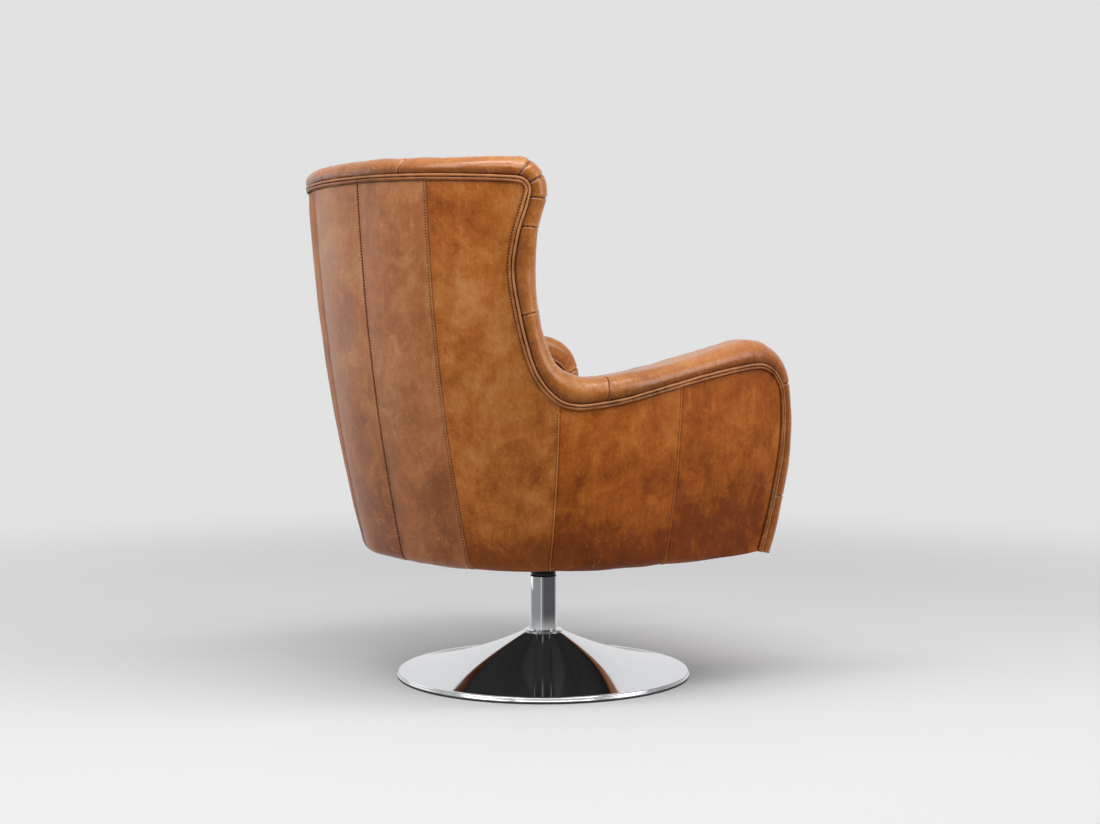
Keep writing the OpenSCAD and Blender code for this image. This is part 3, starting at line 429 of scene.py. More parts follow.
def leather(name, dark, mid, light, offset=0.0, rough=0.46, shine=0.26, coat=0.04, cloudy=0.78, grainy=1.0,
            sheen=0.08):
    """Waxed pull-up leather: clouds, mottling, fine pores, light scratches, and the tone values, which carry painted
    shade and painted highlights, the paler ridges among them.
    """
    m, nt, bsdf = material(name, Specular_IOR_Level=shine, Coat_Weight=coat, Coat_Roughness=0.30, Sheen_Weight=sheen,
                           Sheen_Roughness=0.45, Sheen_Tint=(0.80, 0.86, 0.95, 1))
    v = coords(nt)
    clouds = noise(nt, v, 5.0, 4, 0.52, 0.8)
    mottle = noise(nt, v, 17, 4, 0.52, 1.0)
    grain = noise(nt, v, 60, 5, 0.62, 0.8)
    speck = noise(nt, v, 230, 4, 0.70)
    streak = noise(nt, coords(nt, (90, 90, 14), (0.5, 0.3, 0.2)), 1.0, 4, 0.6, 0.4)
    tone = node(nt, "Attribute", attribute_name="tone").outputs["Fac"]
    total = calc(nt, "MULTIPLY", tone, 0.5)
    amounts = ((clouds, 1.15 * cloudy), (mottle, 0.95 * cloudy), (grain, 0.50), (speck, 0.50), (streak, 0.25))
    for value, amount in amounts:
        total = calc(nt, "ADD", total, calc(nt, "MULTIPLY", value, amount))
    total = calc(nt, "ADD", total, 0.32 + offset - 0.5 * sum(amount for _, amount in amounts))
    total = calc(nt, "ADD", calc(nt, "MULTIPLY", total, 0.7), 0.25)
    colour = ramp(nt, total, [(0.0, tuple(0.62 * c for c in dark)), (0.25, dark), (0.46, mid), (0.68, light),
                              (1.0, tuple(min(1, c * 1.35) for c in light))])
    # Some patches are redder than others
    red = to_range(nt, noise(nt, v, 4.2, 3, 0.5, 0.8), 0.46, 0.66, 0.0, 0.5)
    colour = mix(nt, red, colour, (1.0, 0.80, 0.66), "MULTIPLY")
    scratch = noise(nt, coords(nt, (30, 420, 60), (0.4, 0.9, 0.3)), 1.0, 3, 0.5, 1.2)
    lines = to_range(nt, scratch, 0.64, 0.74)
    colour = mix(nt, calc(nt, "MULTIPLY", lines, 0.38), colour, tuple(min(1, c * 1.5) for c in light))
    mottled = calc(nt, "ADD", mottle, calc(nt, "MULTIPLY", speck, 0.5))
    wire(nt, bsdf, {"Base Color": colour, "Roughness": to_range(nt, mottled, 0.5, 1.0, rough - 0.07, rough + 0.10)})
    pores = node(nt, "TexVoronoi", {"Vector": v, "Scale": 620, "Smoothness": 0.6}, feature="SMOOTH_F1")
    bump(nt, bsdf, [(noise(nt, v, 45, 4, 0.6), 0.22 * grainy, 0.0016),
                    (noise(nt, v, 330, 4, 0.6), 0.20 * grainy, 0.0006), (pores.outputs["Distance"], 0.22, 0.0004)])
    return m


def thread_look(name, rough, colour, **sockets):
    m, nt, bsdf = material(name, rough, colour=colour, **sockets)
    bump(nt, bsdf, [(noise(nt, coords(nt), 2500, 2), 0.3, 0.0002)])
    return m


# Copies of the one leather for different panels, whose colours differ as painted light and shade on the panels they
# cover; the inner copy's offset of 0.30 makes it lighter as painted light on the inside, which lies in shade
DARK, MID, LIGHT = (0.215, 0.058, 0.003), (0.390, 0.115, 0.010), (0.520, 0.202, 0.042)
outer_leather = leather("leather_outer", (0.205, 0.049, 0.002), (0.355, 0.108, 0.014), (0.465, 0.190, 0.054),
                        shine=0.16, cloudy=0.85, sheen=0.05)
rear_leather = leather("leather_rear", (0.205, 0.053, 0.002), (0.325, 0.105, 0.017), (0.435, 0.188, 0.058),
                       0.04, rough=0.44, shine=0.42, coat=0.22, sheen=0.14)
side_leather = leather("leather_side", (0.185, 0.038, 0.001), (0.338, 0.087, 0.006), (0.460, 0.158, 0.029),
                       rough=0.47, shine=0.12)
roll_leather = leather("leather_roll", (0.215, 0.060, 0.005), (0.380, 0.122, 0.016), (0.510, 0.212, 0.052),
                       rough=0.24, shine=0.60, coat=0.0, cloudy=0.45, grainy=0.5, sheen=0.10)
inner_leather_painted_lighter = leather("leather_inner", DARK, MID, LIGHT, 0.30, cloudy=0.7)
cushion_leather = leather("leather_cushion", DARK, MID, LIGHT, 0.06, rough=0.44, cloudy=0.8)
welt_leather = leather("leather_welt", (0.070, 0.017, 0.003), (0.260, 0.084, 0.016), (0.430, 0.175, 0.055),
                       rough=0.40, shine=0.35, coat=0.08)
thread = thread_look("thread", 0.7, (0.020, 0.006, 0.003), Specular_IOR_Level=0.08)
inner_thread = thread_look("thread_inner", 0.6, (0.260, 0.085, 0.018))


def metal(name, colour, rough, scale, depth, spread_by):
    m, nt, bsdf = material(name, rough, 1.0, colour)
    v = coords(nt)
    wire(nt, bsdf, {"Roughness": to_range(nt, noise(nt, v, scale, 4, 0.6), 0.3, 0.7, rough, rough + spread_by)})
    if depth:
        bump(nt, bsdf, [(noise(nt, v, scale * 20, 3), 0.1, depth)])
    return m


def plastic(name, colour, rough):
    m, nt, bsdf = material(name, rough, 0.0, colour)
    v = coords(nt)
    wire(nt, bsdf, {"Roughness": to_range(nt, noise(nt, v, 30, 4), 0.3, 0.7, rough - 0.04, rough + 0.06)})
    bump(nt, bsdf, [(noise(nt, v, 900, 3), 0.12, 0.0003)])
    return m


def timber(name, light, dark, scale=(9, 9, 60)):
    m, nt, bsdf = material(name, 0.6)
    rings = node(nt, "TexWave", {"Vector": coords(nt, scale), "Scale": 1.2, "Distortion": 5, "Detail": 4},
                 wave_type="RINGS").outputs["Fac"]
    paler = tuple(c * 1.1 for c in light)
    wire(nt, bsdf, {"Base Color": ramp(nt, rings, [(0, dark), (0.6, light), (1, paler)])})
    bump(nt, bsdf, [(rings, 0.12, 0.0005)])
    return m


def cloth(name, colour):
    m, nt, bsdf = material(name, 0.85, 0.0, colour)
    v = coords(nt)
    weave = node(nt, "TexVoronoi", {"Vector": v, "Scale": 700}).outputs["Distance"]
    patches = to_range(nt, noise(nt, v, 60), 0.3, 0.7)
    wire(nt, bsdf, {"Base Color": mix(nt, patches, colour, tuple(c * 1.6 for c in colour))})
    bump(nt, bsdf, [(weave, 0.5, 0.0005)])
    return m


chrome = metal("chrome_plate", (0.86, 0.87, 0.885), 0.035, 14, 0.0, 0.035)
NODE_LOOKS = {
    "chrome": chrome,
    "steel": metal("zinc_steel", (0.56, 0.56, 0.57), 0.32, 40, 0.0002, 0.12),
    "bearing_steel": metal("ground_steel", (0.62, 0.62, 0.64), 0.18, 60, 0.0, 0.08),
    "spring_steel": metal("spring_steel", (0.30, 0.30, 0.32), 0.38, 60, 0.0002, 0.12),
    "cage_brass": metal("cage_brass", (0.72, 0.54, 0.25), 0.28, 60, 0.0, 0.1),
    "ballast_steel": plastic("ballast_paint", (0.05, 0.05, 0.055), 0.5),
    "floor_pad": plastic("floor_pad_plastic", (0.022, 0.022, 0.023), 0.6),
    "bush_plastic": plastic("bush_nylon", (0.04, 0.04, 0.045), 0.42),
    "black_sleeve": plastic("sleeve_black", (0.012, 0.012, 0.013), 0.34),
    "plate_black": plastic("plate_powder", (0.02, 0.02, 0.02), 0.5),
    "beech": timber("beech_wood", (0.60, 0.42, 0.25), (0.42, 0.27, 0.14)),
    "plywood": timber("plywood", (0.58, 0.42, 0.26), (0.40, 0.27, 0.15), (3, 3, 90)),
    "deck_cloth": cloth("black_cloth", (0.018, 0.018, 0.019)),
    "foam": cloth("foam_pad", (0.72, 0.66, 0.46)),
}
for entry in frame["record"]["subparts"]:
    look = NODE_LOOKS.get(entry["material_slot"])
    if look:
        data = frame["nodes"][entry["node"]].data
        data.materials.clear()
        data.materials.append(look)

# Camera at the photograph's viewpoint, with its focal length and its two offsets in the photograph's pixels

PHOTO_W, FOCAL, BELOW_HORIZON, AXIS_X = 1100, 1870, 109, 543.3
swing, tip_down = math.radians(38), math.atan(BELOW_HORIZON / FOCAL)
turn = math.atan((PHOTO_W / 2 - AXIS_X) / FOCAL)
forward0, right0 = Vector((math.cos(swing), -math.sin(swing), 0)), Vector((-math.sin(swing), -math.cos(swing), 0))
ahead = math.cos(turn) * forward0 + math.sin(turn) * right0
right = -math.sin(turn) * forward0 + math.cos(turn) * right0
forward = math.cos(tip_down) * ahead - math.sin(tip_down) * Vector((0, 0, 1))
up = math.sin(tip_down) * ahead + math.cos(tip_down) * Vector((0, 0, 1))
camera = bpy.data.cameras.new("camera")
camera.sensor_width = 36
camera.lens = camera.sensor_width * FOCAL / PHOTO_W
view = new_object("camera", camera)
view.matrix_world = Matrix.Translation((-2.7068, 2.1148, 0.686)) @ Matrix((right, up, -forward)).transposed().to_4x4()
bpy.context.scene.camera = view

# Patches of the tub between seams, in w and z, with rows and columns at chosen distances from their edges
# Each edge of a patch is a curve from a share between 0 and 1 to w and z. z0 is the height of a patch's lower edge, or
# None where the patch goes down to the tub's own lower edge

# Width of a fold beside a seam, and how far the stitches lie from a fold's seam, from the centre seam and from the rim
RIDGE, STITCH_MM, CENTRE_STITCH_MM, RIM_STITCH_MM = 8.0, 4.4, 1.4, 7.0
SEAM_MM = [0, 0.7, 1.4, 2.2, 3.2, 4.4, 5.6, 6.8, 7.6, 8.6, 10.5, 14]
BOTTOM_MM = [0, 2, 4.2, 7, 10, 14, 18]
RIM_MM = [0, 1.5, 3, 4.6, 6.0, 7.0, 8.0, 9.6, 12, 15]
# How the bottom turns under: the depth from the outer face and the height over the lower edge
UNDER_MM = [(1.5, -0.8), (4, -0.7), (8, 0.8), (14, 5), (18, 10), (19, 14)]


def low_line(left, right, z0):
    """Lower edge of a patch, between the feet of its left and right edges."""
    w0, w1 = (float(edge(np.array(0.0))[0]) for edge in (left, right))

    def curve(u):
        w = lerp(w0, w1, u)
        return np.stack([w, bottom_z(w) if z0 is None else np.full_like(w, z0)], -1)
    return curve


def level_seam(w_of_z, z0):
    zb = BOTTOM if z0 is None else z0

    def curve(v):
        z = lerp(zb, RIM, v)
        return np.stack([w_of_z(z), z], -1)
    return curve


def centre_line(z):
    return np.zeros_like(z)


def rear_seam(z):
    return w_at_x(lerp(163.0, 176.0, rise(z)), z)


def inner_seam(z):
    return lerp(0.52, 0.76, rise(z))


def bent_seam(y0, l, z0):
    e = edge_wz(l)
    y1 = float(np.interp(l, EL[:len(side)], side[:, 0]))
    zb = float(bottom_z(w_at_y(y0, BOTTOM))) if z0 is None else z0

    def curve(v):
        z = lerp(zb, e[1], v)
        y = lerp(y0, y1, (z - BOTTOM) / (e[1] - BOTTOM))
        return np.stack([np.where(v < 1, w_at_y(y, z), e[0]), z], -1)
    return curve


def edge_line(l0, l1):
    return lambda u: edge_wz(lerp(l0, l1, u))


def wing_front(z0):
    seam = bent_seam(SIDE_SEAM_Y, SIDE_L, z0)
    zb = BOTTOM if z0 is None else z0
    m = (DIP_Z - zb) / (RIM - zb)

    def curve(v):
        return np.where((v < m)[..., None], seam(np.minimum(v / m, 1)), edge_wz(lerp(SIDE_L, TIP_L, (v - m) / (1 - m))))
    return curve


TOP_FROM = 20 * PER
top_tip = edge_wz(TIP_L)


def wing_top(w0):
    def curve(u):
        l = np.interp(-lerp(w0, top_tip[0], u), -EW[TOP_FROM:], EL[TOP_FROM:])
        return edge_wz(np.where(u < 1, l, TIP_L))
    return curve


def rear_curves(seam, z0):
    left, right = level_seam(centre_line, z0), level_seam(seam, z0)
    w1 = float(seam(np.array(RIM)))
    return low_line(left, right, z0), lambda u: np.stack([w1 * u, RIM + 0 * u], -1), left, right


def wing_curves(seam, z0, even=False):
    left, right = level_seam(seam, z0), wing_front(z0)
    w0 = float(seam(np.array(RIM)))
    l0 = float(np.interp(-w0, -EW[TOP_FROM:], EL[TOP_FROM:]))
    return low_line(left, right, z0), wing_top(w0) if even else edge_line(l0, TIP_L), left, right


def side_curves(z0):
    left, right = bent_seam(SIDE_SEAM_Y, SIDE_L, z0), bent_seam(ARM_SEAM_Y, ARM_L, z0)
    return low_line(left, right, z0), edge_line(SIDE_L, ARM_L), left, right


def arm_curves(z0):
    foot_l = 0.0 if z0 is None else float(np.interp(z0, EZ[:4 * PER], EL[:4 * PER]))
    left, right = bent_seam(ARM_SEAM_Y, ARM_L, z0), edge_line(foot_l, CORNER_L)
    return low_line(left, right, z0), edge_line(ARM_L, CORNER_L), left, right


def coons(curves, u, v):
    """The surface patch between four curves, lower, upper, left and right, at shares u and v."""
    b, t, l, r = curves
    u3, v3 = u[..., None], v[..., None]
    zero, one = np.array(0.0), np.array(1.0)
    corners = lerp(lerp(b(zero), b(one), u3), lerp(t(zero), t(one), u3), v3)
    return lerp(b(u), t(u), v3) + lerp(l(v), r(v), u3) - corners


def spread(length, pitch, near, far):
    """Shares of a length with fixed distances near both ends and even steps between them."""
    n = max(2, int(round((length - near[-1] - far[-1]) / pitch)))
    mid = np.linspace(near[-1] / length, 1 - far[-1] / length, n + 1)[1:-1]
    return np.concatenate([np.array(near) / length, mid, 1 - np.array(far)[::-1] / length])


def grid_of(curves, surface, pitch, near_u, far_u, near_v, far_v):
    """Base points of a patch and the distances from its four edges, in millimetres."""
    def on_surface(u, v):
        return surface(*np.moveaxis(coons(curves, u, v), -1, 0))

    mids = np.linspace(0, 1, 60)
    middle = on_surface(np.full(60, 0.5), mids)
    v = spread(np.linalg.norm(np.diff(middle, axis=0), axis=1).sum(), pitch, near_v, far_v)
    lengths = lengths_along(on_surface(*np.meshgrid(mids, v)), 1)
    share = spread(float(np.median(lengths[:, -1])), pitch, near_u, far_u)
    near, far = len(near_u), len(share) - len(far_u)
    u = np.zeros((len(v), len(share)))
    for i, row in enumerate(lengths):
        # Fixed distances at both ends, squeezed where the row is too short for them
        total = row[-1]
        fit = min(1.0, 0.4 * total / near_u[-1])
        d = share * total
        d[:near] = np.array(near_u) * fit
        d[far:] = total - np.array(far_u)[::-1] * fit
        d[near - 1:far + 1] = np.linspace(d[near - 1], d[far], far - near + 2)
        u[i] = np.interp(d, row, mids)
    wz = coons(curves, u, np.repeat(v[:, None], u.shape[1], 1))
    p = surface(wz[..., 0], wz[..., 1])
    du, dv = lengths_along(p, 1), lengths_along(p)
    return p, du, du[:, -1:] - du, dv, dv[-1:] - dv, wz


def seam_shape(d, ridge):
    groove = -1.1 * bell(d, 0.9)
    if ridge < 0.5:
        return groove + 0.45 * bell(d - 4.5, 3)
    fold = 0.9 * (smooth((d - 0.8) / 1.6) - smooth((d - RIDGE) / 3.0))
    return groove + fold - 0.2 * bell(d - STITCH_MM, 1.2)


def rim_shape(d):
    return -1.0 * bell(d, 3.0) - 0.5 * bell(d - RIM_STITCH_MM, 1.1)


def nearest(values, target):
    return int(np.argmin(np.abs(values - target)))


# Rows of stitches on the panels, each with its points and their normals
panel_rows = []


def panel(name, curves, left_ridge, right_ridge, rim_right, painted_shading, look, fold_light=0.85, seam_dark=0.35):
    """Outer leather panel with its seams, its row of stitches beside each fold, and its bottom turned under."""
    p, dl, dr, db, dt, wz = grid_of(curves, lambda w, z: tub(w, z, 0, None, True), 6.5, SEAM_MM, SEAM_MM,
                                    BOTTOM_MM, RIM_MM)
    n = normals(p)
    if (n[..., :2] * p[..., :2]).sum() < 0:
        n = -n
    # Share of the right edge that belongs to the rim, not to a seam
    rim = smooth((wz[..., 1] - (DIP_Z - 6)) / 14) if rim_right == "wing" else float(rim_right)
    off = seam_shape(dl, left_ridge) + (1 - rim) * seam_shape(dr, right_ridge) + rim * rim_shape(dr) + rim_shape(dt)
    inside = np.minimum(np.minimum(dl, dr), np.minimum(dt, db + 30))
    off += 2.6 * (1 - np.exp(-inside / 34))
    pucker = np.exp(-np.minimum(dl, dr) / 14) * (1 - bell(np.minimum(dl, dr), 2))
    # Slow waves inside, puckers beside the seams, gathers below the rim, and ripples over the lower edge
    for height, length, seed, squeeze, share in (
            (0.55, 105, 3, (1, 1, 1), 1 - np.exp(-inside / 25)), (0.30, 15, 5, (0.3, 0.3, 1), pucker),
            (0.22, 24, 7, (1, 1, 1), np.exp(-dt / 16)), (0.5, 60, 9, (1, 1, 0.5), np.exp(-db / 22))):
        off += height * waves(p * squeeze, length, seed) * share
    q = p + n * off[..., None]
    # The bottom turns under the base rail
    inward = -n[0] * (1, 1, 0)
    inward /= np.linalg.norm(inward, axis=1)[:, None]
    under = [q[0] + inward * depth + (0, 0, lift) for depth, lift in UNDER_MM[::-1]]
    q = np.vstack([np.array(under), q])
    # Tone: painted light and shade from the panel's own function, paler folds beside the seams as a painted highlight
    # on their ridges, dark seam lines, a paler lower edge, a paler band under each row of stitches as a painted
    # highlight on the leather between the stitches, and a dark line along the rim's stitches
    folds = ((dl, float(left_ridge > 0.5)), (dr, right_ridge * (1 - rim)))
    tone = painted_shading(p[..., 2], dl, dr) + fold_light * sum(bell(d - 1.6, 1.0) * fold for d, fold in folds)
    tone = tone - seam_dark * (bell(dl, 0.8) + bell(dr, 0.8) * (1 - rim)) + 0.12 * bell(db, 8)
    tone += 0.40 * sum(bell(d - STITCH_MM, 1.0) * fold for d, fold in folds)
    tone -= 0.16 * bell(dt - RIM_STITCH_MM, 1.2)
    tone = np.vstack([np.repeat(tone[:1], len(under), 0), tone])

    def keep_row(rows, lift=0.1):
        panel_rows.append(((p + n * (off + lift)[..., None])[rows], n[rows]))

    for d, ridge in ((dl, left_ridge), (dr, right_ridge)):
        if ridge > 0.2:
            j = nearest(d[len(d) // 2], STITCH_MM if ridge > 0.5 else CENTRE_STITCH_MM)
            keep_row((wz[:, j, 1] < DIP_Z - 2 if d is dr and rim_right == "wing" else slice(None), j), 0.15)
    keep_row((nearest(dt[:, dt.shape[1] // 2], RIM_STITCH_MM), slice(2, -2)))
    if rim_right == "wing":
        j = nearest(dr[-12], RIM_STITCH_MM)
        keep_row((wz[:, j, 1] > DIP_Z + 6, j))
    elif rim_right:
        keep_row((slice(None, -6), nearest(dr[len(dr) // 2], RIM_STITCH_MM)))
    for side_name, grid, t in (("left", q, tone), ("right", mirror(q), tone[:, ::-1])):
        o = build(f"{name}_{side_name}_sewn", [grid], look, tone=[t])
        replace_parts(o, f"{name}_{side_name}")


# Painted light and shade on each panel, as tone by height and by distance from its seams: darker towards the bottom,
# lighter high on the rear, paler near the front of the wing and of the arm, and the arm darker all over
def painted_shading_rear(z, dl, dr):
    return -0.08 + 0.10 * smooth((z - 560) / 280) - 0.50 * smooth((500 - z) / 240)


def painted_shading_wing(z, dl, dr):
    upper = -0.08 * smooth((z - 700) / 120) + 0.10 * bell(dr - 60, 60)
    return upper - 0.10 * smooth((460 - z) / 120) - 0.75 * smooth((360 - z) / 120)


def painted_shading_side(z, dl, dr):
    return 0.06 - 0.14 * smooth((480 - z) / 110) - 0.85 * smooth((370 - z) / 120)


def painted_shading_arm(z, dl, dr):
    middle = 0.14 * smooth((500 - z) / 90) * bell(dl - 110, 90)
    return -0.34 - middle - 0.45 * smooth((380 - z) / 110) + 0.30 * bell(dr - 12, 16)


panel("rear_panel", rear_curves(rear_seam, None), 0.3, 1, False, painted_shading_rear, rear_leather, 0.25, 0.9)
panel("wing_panel", wing_curves(rear_seam, None), 0, 1, "wing", painted_shading_wing, outer_leather)
panel("side_panel", side_curves(None), 0, 0, False, painted_shading_side, side_leather)
panel("arm_panel", arm_curves(None), 1, 0, True, painted_shading_arm, side_leather)

# A stitch's section at five places: the place as a share of its length, how deep it sinks and how wide it is
STITCH_AT = np.array([-0.5, -0.36, 0, 0.36, 0.5])
STITCH_SINK = np.array([-0.8, -0.25, -0.05, -0.25, -0.8])[:, None] * 1.6
STITCH_WIDE = np.array([0.55, 0.95, 1.0, 0.95, 0.55])[:, None]


def stitches(rows, pitch=4.9, length=2.4, r=1.2, sides=6):
    """Short raised threads that follow rows of points, each sunk at its ends."""
    verts, faces = [], []
    angle = np.arange(sides) * 2 * math.pi / sides
    for path, normal in rows:
        l = lengths_along(path)
        for c in range(int((l[-1] - 4) // pitch)):
            s = 2 + pitch * (c + 0.5)
            pts = np.stack([np.interp(s + STITCH_AT * length, l, path[:, i]) for i in range(3)], -1)
            up = np.array([np.interp(s, l, normal[:, i]) for i in range(3)])
            up /= np.linalg.norm(up)
            along = pts[-1] - pts[0]
            along /= np.linalg.norm(along)
            first = len(verts) * len(pts) * sides
            high, wide = r * (STITCH_SINK + STITCH_WIDE * np.sin(angle)), r * STITCH_WIDE * np.cos(angle)
            rings = pts[:, None] + high[..., None] * up + wide[..., None] * np.cross(up, along)
            verts.append(rings.reshape(-1, 3))
            faces += [tuple(f) for f in grid_faces(len(pts), sides, first, True)]
            faces.append(tuple(range(first + sides - 1, first - 1, -1)))
            faces.append(tuple(range(first + (len(pts) - 1) * sides, first + len(pts) * sides)))
    return {"v": np.vstack(verts), "f": faces}


def with_flipped(rows):
    return rows + [(path * FLIP_X, normal * FLIP_X) for path, normal in rows]


build("panel_stitches", [stitches(with_flipped(panel_rows))], thread)

# Welts: two cords in leather outside, on a strip that closes the seam between them, and one cord inside

WELT_SIDES = 12


def welt_path(l, p, q, seed):
    pts = edge_pt(l, p, q)
    return pts + 0.22 * np.stack([waves(pts, 70, seed + i) for i in range(3)], -1)


def edge_strip(corners):
    return np.stack([edge_pt(along, p, q) for p, q in corners], 0)


along = np.linspace(0.0, WHOLE, 720)
puff = 2.3 + 0.08 * waves(edge_pt(along, 0, 0), 30, 21)
upper = tube_grid(welt_path(along, -2.9, 2.75, 31), puff, WELT_SIDES)
lower = tube_grid(welt_path(along, -2.7, -2.75, 41), puff, WELT_SIDES)
strip = edge_strip(((3.0, -7), (0.6, -5.5), (-0.9, 0), (0.6, 5.5), (3.0, 8)))


# A painted highlight on the outer half of a cord, with a slightly darker inner half
def welt_painted_highlight(grid, bright):
    centre = grid[:, :-1].mean(1, keepdims=True)
    axis = centre * (1, 1, 0)
    axis /= np.linalg.norm(axis, axis=2, keepdims=True)
    return bright * smooth(((grid - centre) * axis).sum(2) / 2.5) - 0.25


# The strip's tone of -2.0 is painted shade between and beside the cords
welts = build("outer_welts_dressed", [upper, lower, strip], welt_leather,
              tone=[welt_painted_highlight(upper, 0.8), welt_painted_highlight(lower, 0.4), np.full(strip.shape[:2], -2.0)])
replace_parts(welts, "outer_welts")
# The inner cord and its strip are given lighter tone as painted light where they lie in shade
inner = tube_grid(welt_path(along, WALL + 4.6, 0.0, 51), puff * 0.98, WELT_SIDES)
inner_strip = edge_strip(((WALL - 2, -8), (WALL + 1.5, -4), (WALL + 1.5, 4), (WALL - 2, 8)))
o = build("inner_welt_dressed", [inner, inner_strip[:, ::-1]], welt_leather,
          tone=[np.full(inner.shape[:2], 0.55), np.full(inner_strip.shape[:2], 0.1)])
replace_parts(o, "inner_welt")

# The padded roll over the rim, with its cross seams and creases

# Each cross seam: length along the edge, and how much it leans per millimetre through the wall and over the edge
ROLL_SEAMS = [(102.0, 0.0, 0.15), (301.0, 0.0, -0.25), (727.0, 0.05, -0.35), (971.0, 0.0, 0.05), (1120.0, 0.0, 0.25),
              (1169.0, 0.0, 0.15), (1188.0, 0.0, 0.0), (1205.0, 0.0, -0.28), (1426.0, 0.0, -0.40)]
SEAM_L = np.array([s[0] for s in ROLL_SEAMS])
ARM_JOINT, TOP_JOINT = SEAM_L[2], SEAM_L[7]
# Shares of the roll's section at which its outer face, outer curve, crown, inner curve and inner face begin and end,
# and the rows of points over each
SECTION, SECTION_ROWS = (0.0, 0.10, 0.42, 0.62, 0.90, 1.0), (8, 20, 8, 15, 8)
# Distances from a cross seam at which points are set
NEAR_SEAM = np.array([-9, -6.5, -4.5, -3, -2, -1.2, -0.6, 0, 0.6, 1.2, 2, 3, 4.5, 6.5, 9])
# Creases where the roll bends, at the dip, on the wing's inside and at the arm's front corner: the middle, count and
# gap along the edge, the shares of the section that they lie between, and the depth
CREASES = [(849.0, 7, 12.0, 0.1, 0.85, 1.6), (1153.0, 3, 10.0, 0.1, 0.7, 0.5), (355.0, 6, 10.0, 0.05, 0.6, 0.75),
           (441.0, 4, 16.0, 0.1, 0.8, 0.4)]
# How a foot is turned under: its size and height in each ring
FOOT_RINGS = [(0.985, -1.6), (0.95, -2.2), (0.8, -1.6), (0.5, -1.2), (0.0, -1.0)]


def lean_of(m, p, q):
    """How far the cross seams nearest to a length lean from it."""
    total = np.zeros_like(m)
    for i, (s, lean, slant) in enumerate(ROLL_SEAMS):
        before = max(s - 60, SEAM_L[i - 1] if i else 0)
        after = min(s + 60, SEAM_L[i + 1] if i + 1 < len(SEAM_L) else HALF)
        near = np.clip(np.minimum((m - before) / (s - before), (after - m) / (after - s)), 0, 1)
        total += near * (lean * (p - WALL / 2) + slant * (q - 5) * smooth((60 - p) / 50))
    return total


def section(t, l):
    """p and q of the roll's section at a share t of the way from its outer foot, over the crown, to its inner foot."""
    h = roll_h(l)
    r, s = np.minimum(27, 0.60 * h), np.minimum(20, 0.5 * h)
    low = 3.4
    part = [np.clip((t - a) / (b - a), 0, 1) for a, b in zip(SECTION, SECTION[1:])]
    turn, back = part[1] * math.pi / 2, part[3] * math.pi / 2
    p = -2 + r * (1 - np.cos(turn)) + (WALL + 3 - r - s) * part[2] + s * np.sin(back)
    q = low + (h - r - low) * part[0] + r * np.sin(turn) - s * (1 - np.cos(back)) - (h - s - low) * part[4]
    # The outer face swells a little, the crown is a low dome, and the feet draw in behind the welts
    p = p - 1.5 * bell(q - 0.42 * h, 0.3 * h) * (t < 0.5)
    q = q + 2 * np.sin(math.pi * np.clip((p + 2) / (WALL + 3), 0, 1)) * smooth((q - low) / (h - low) * 1.5 - 0.5)
    return p + np.where(t < 0.5, 3.4, -3.4) * bell(q - low, 3.0), q


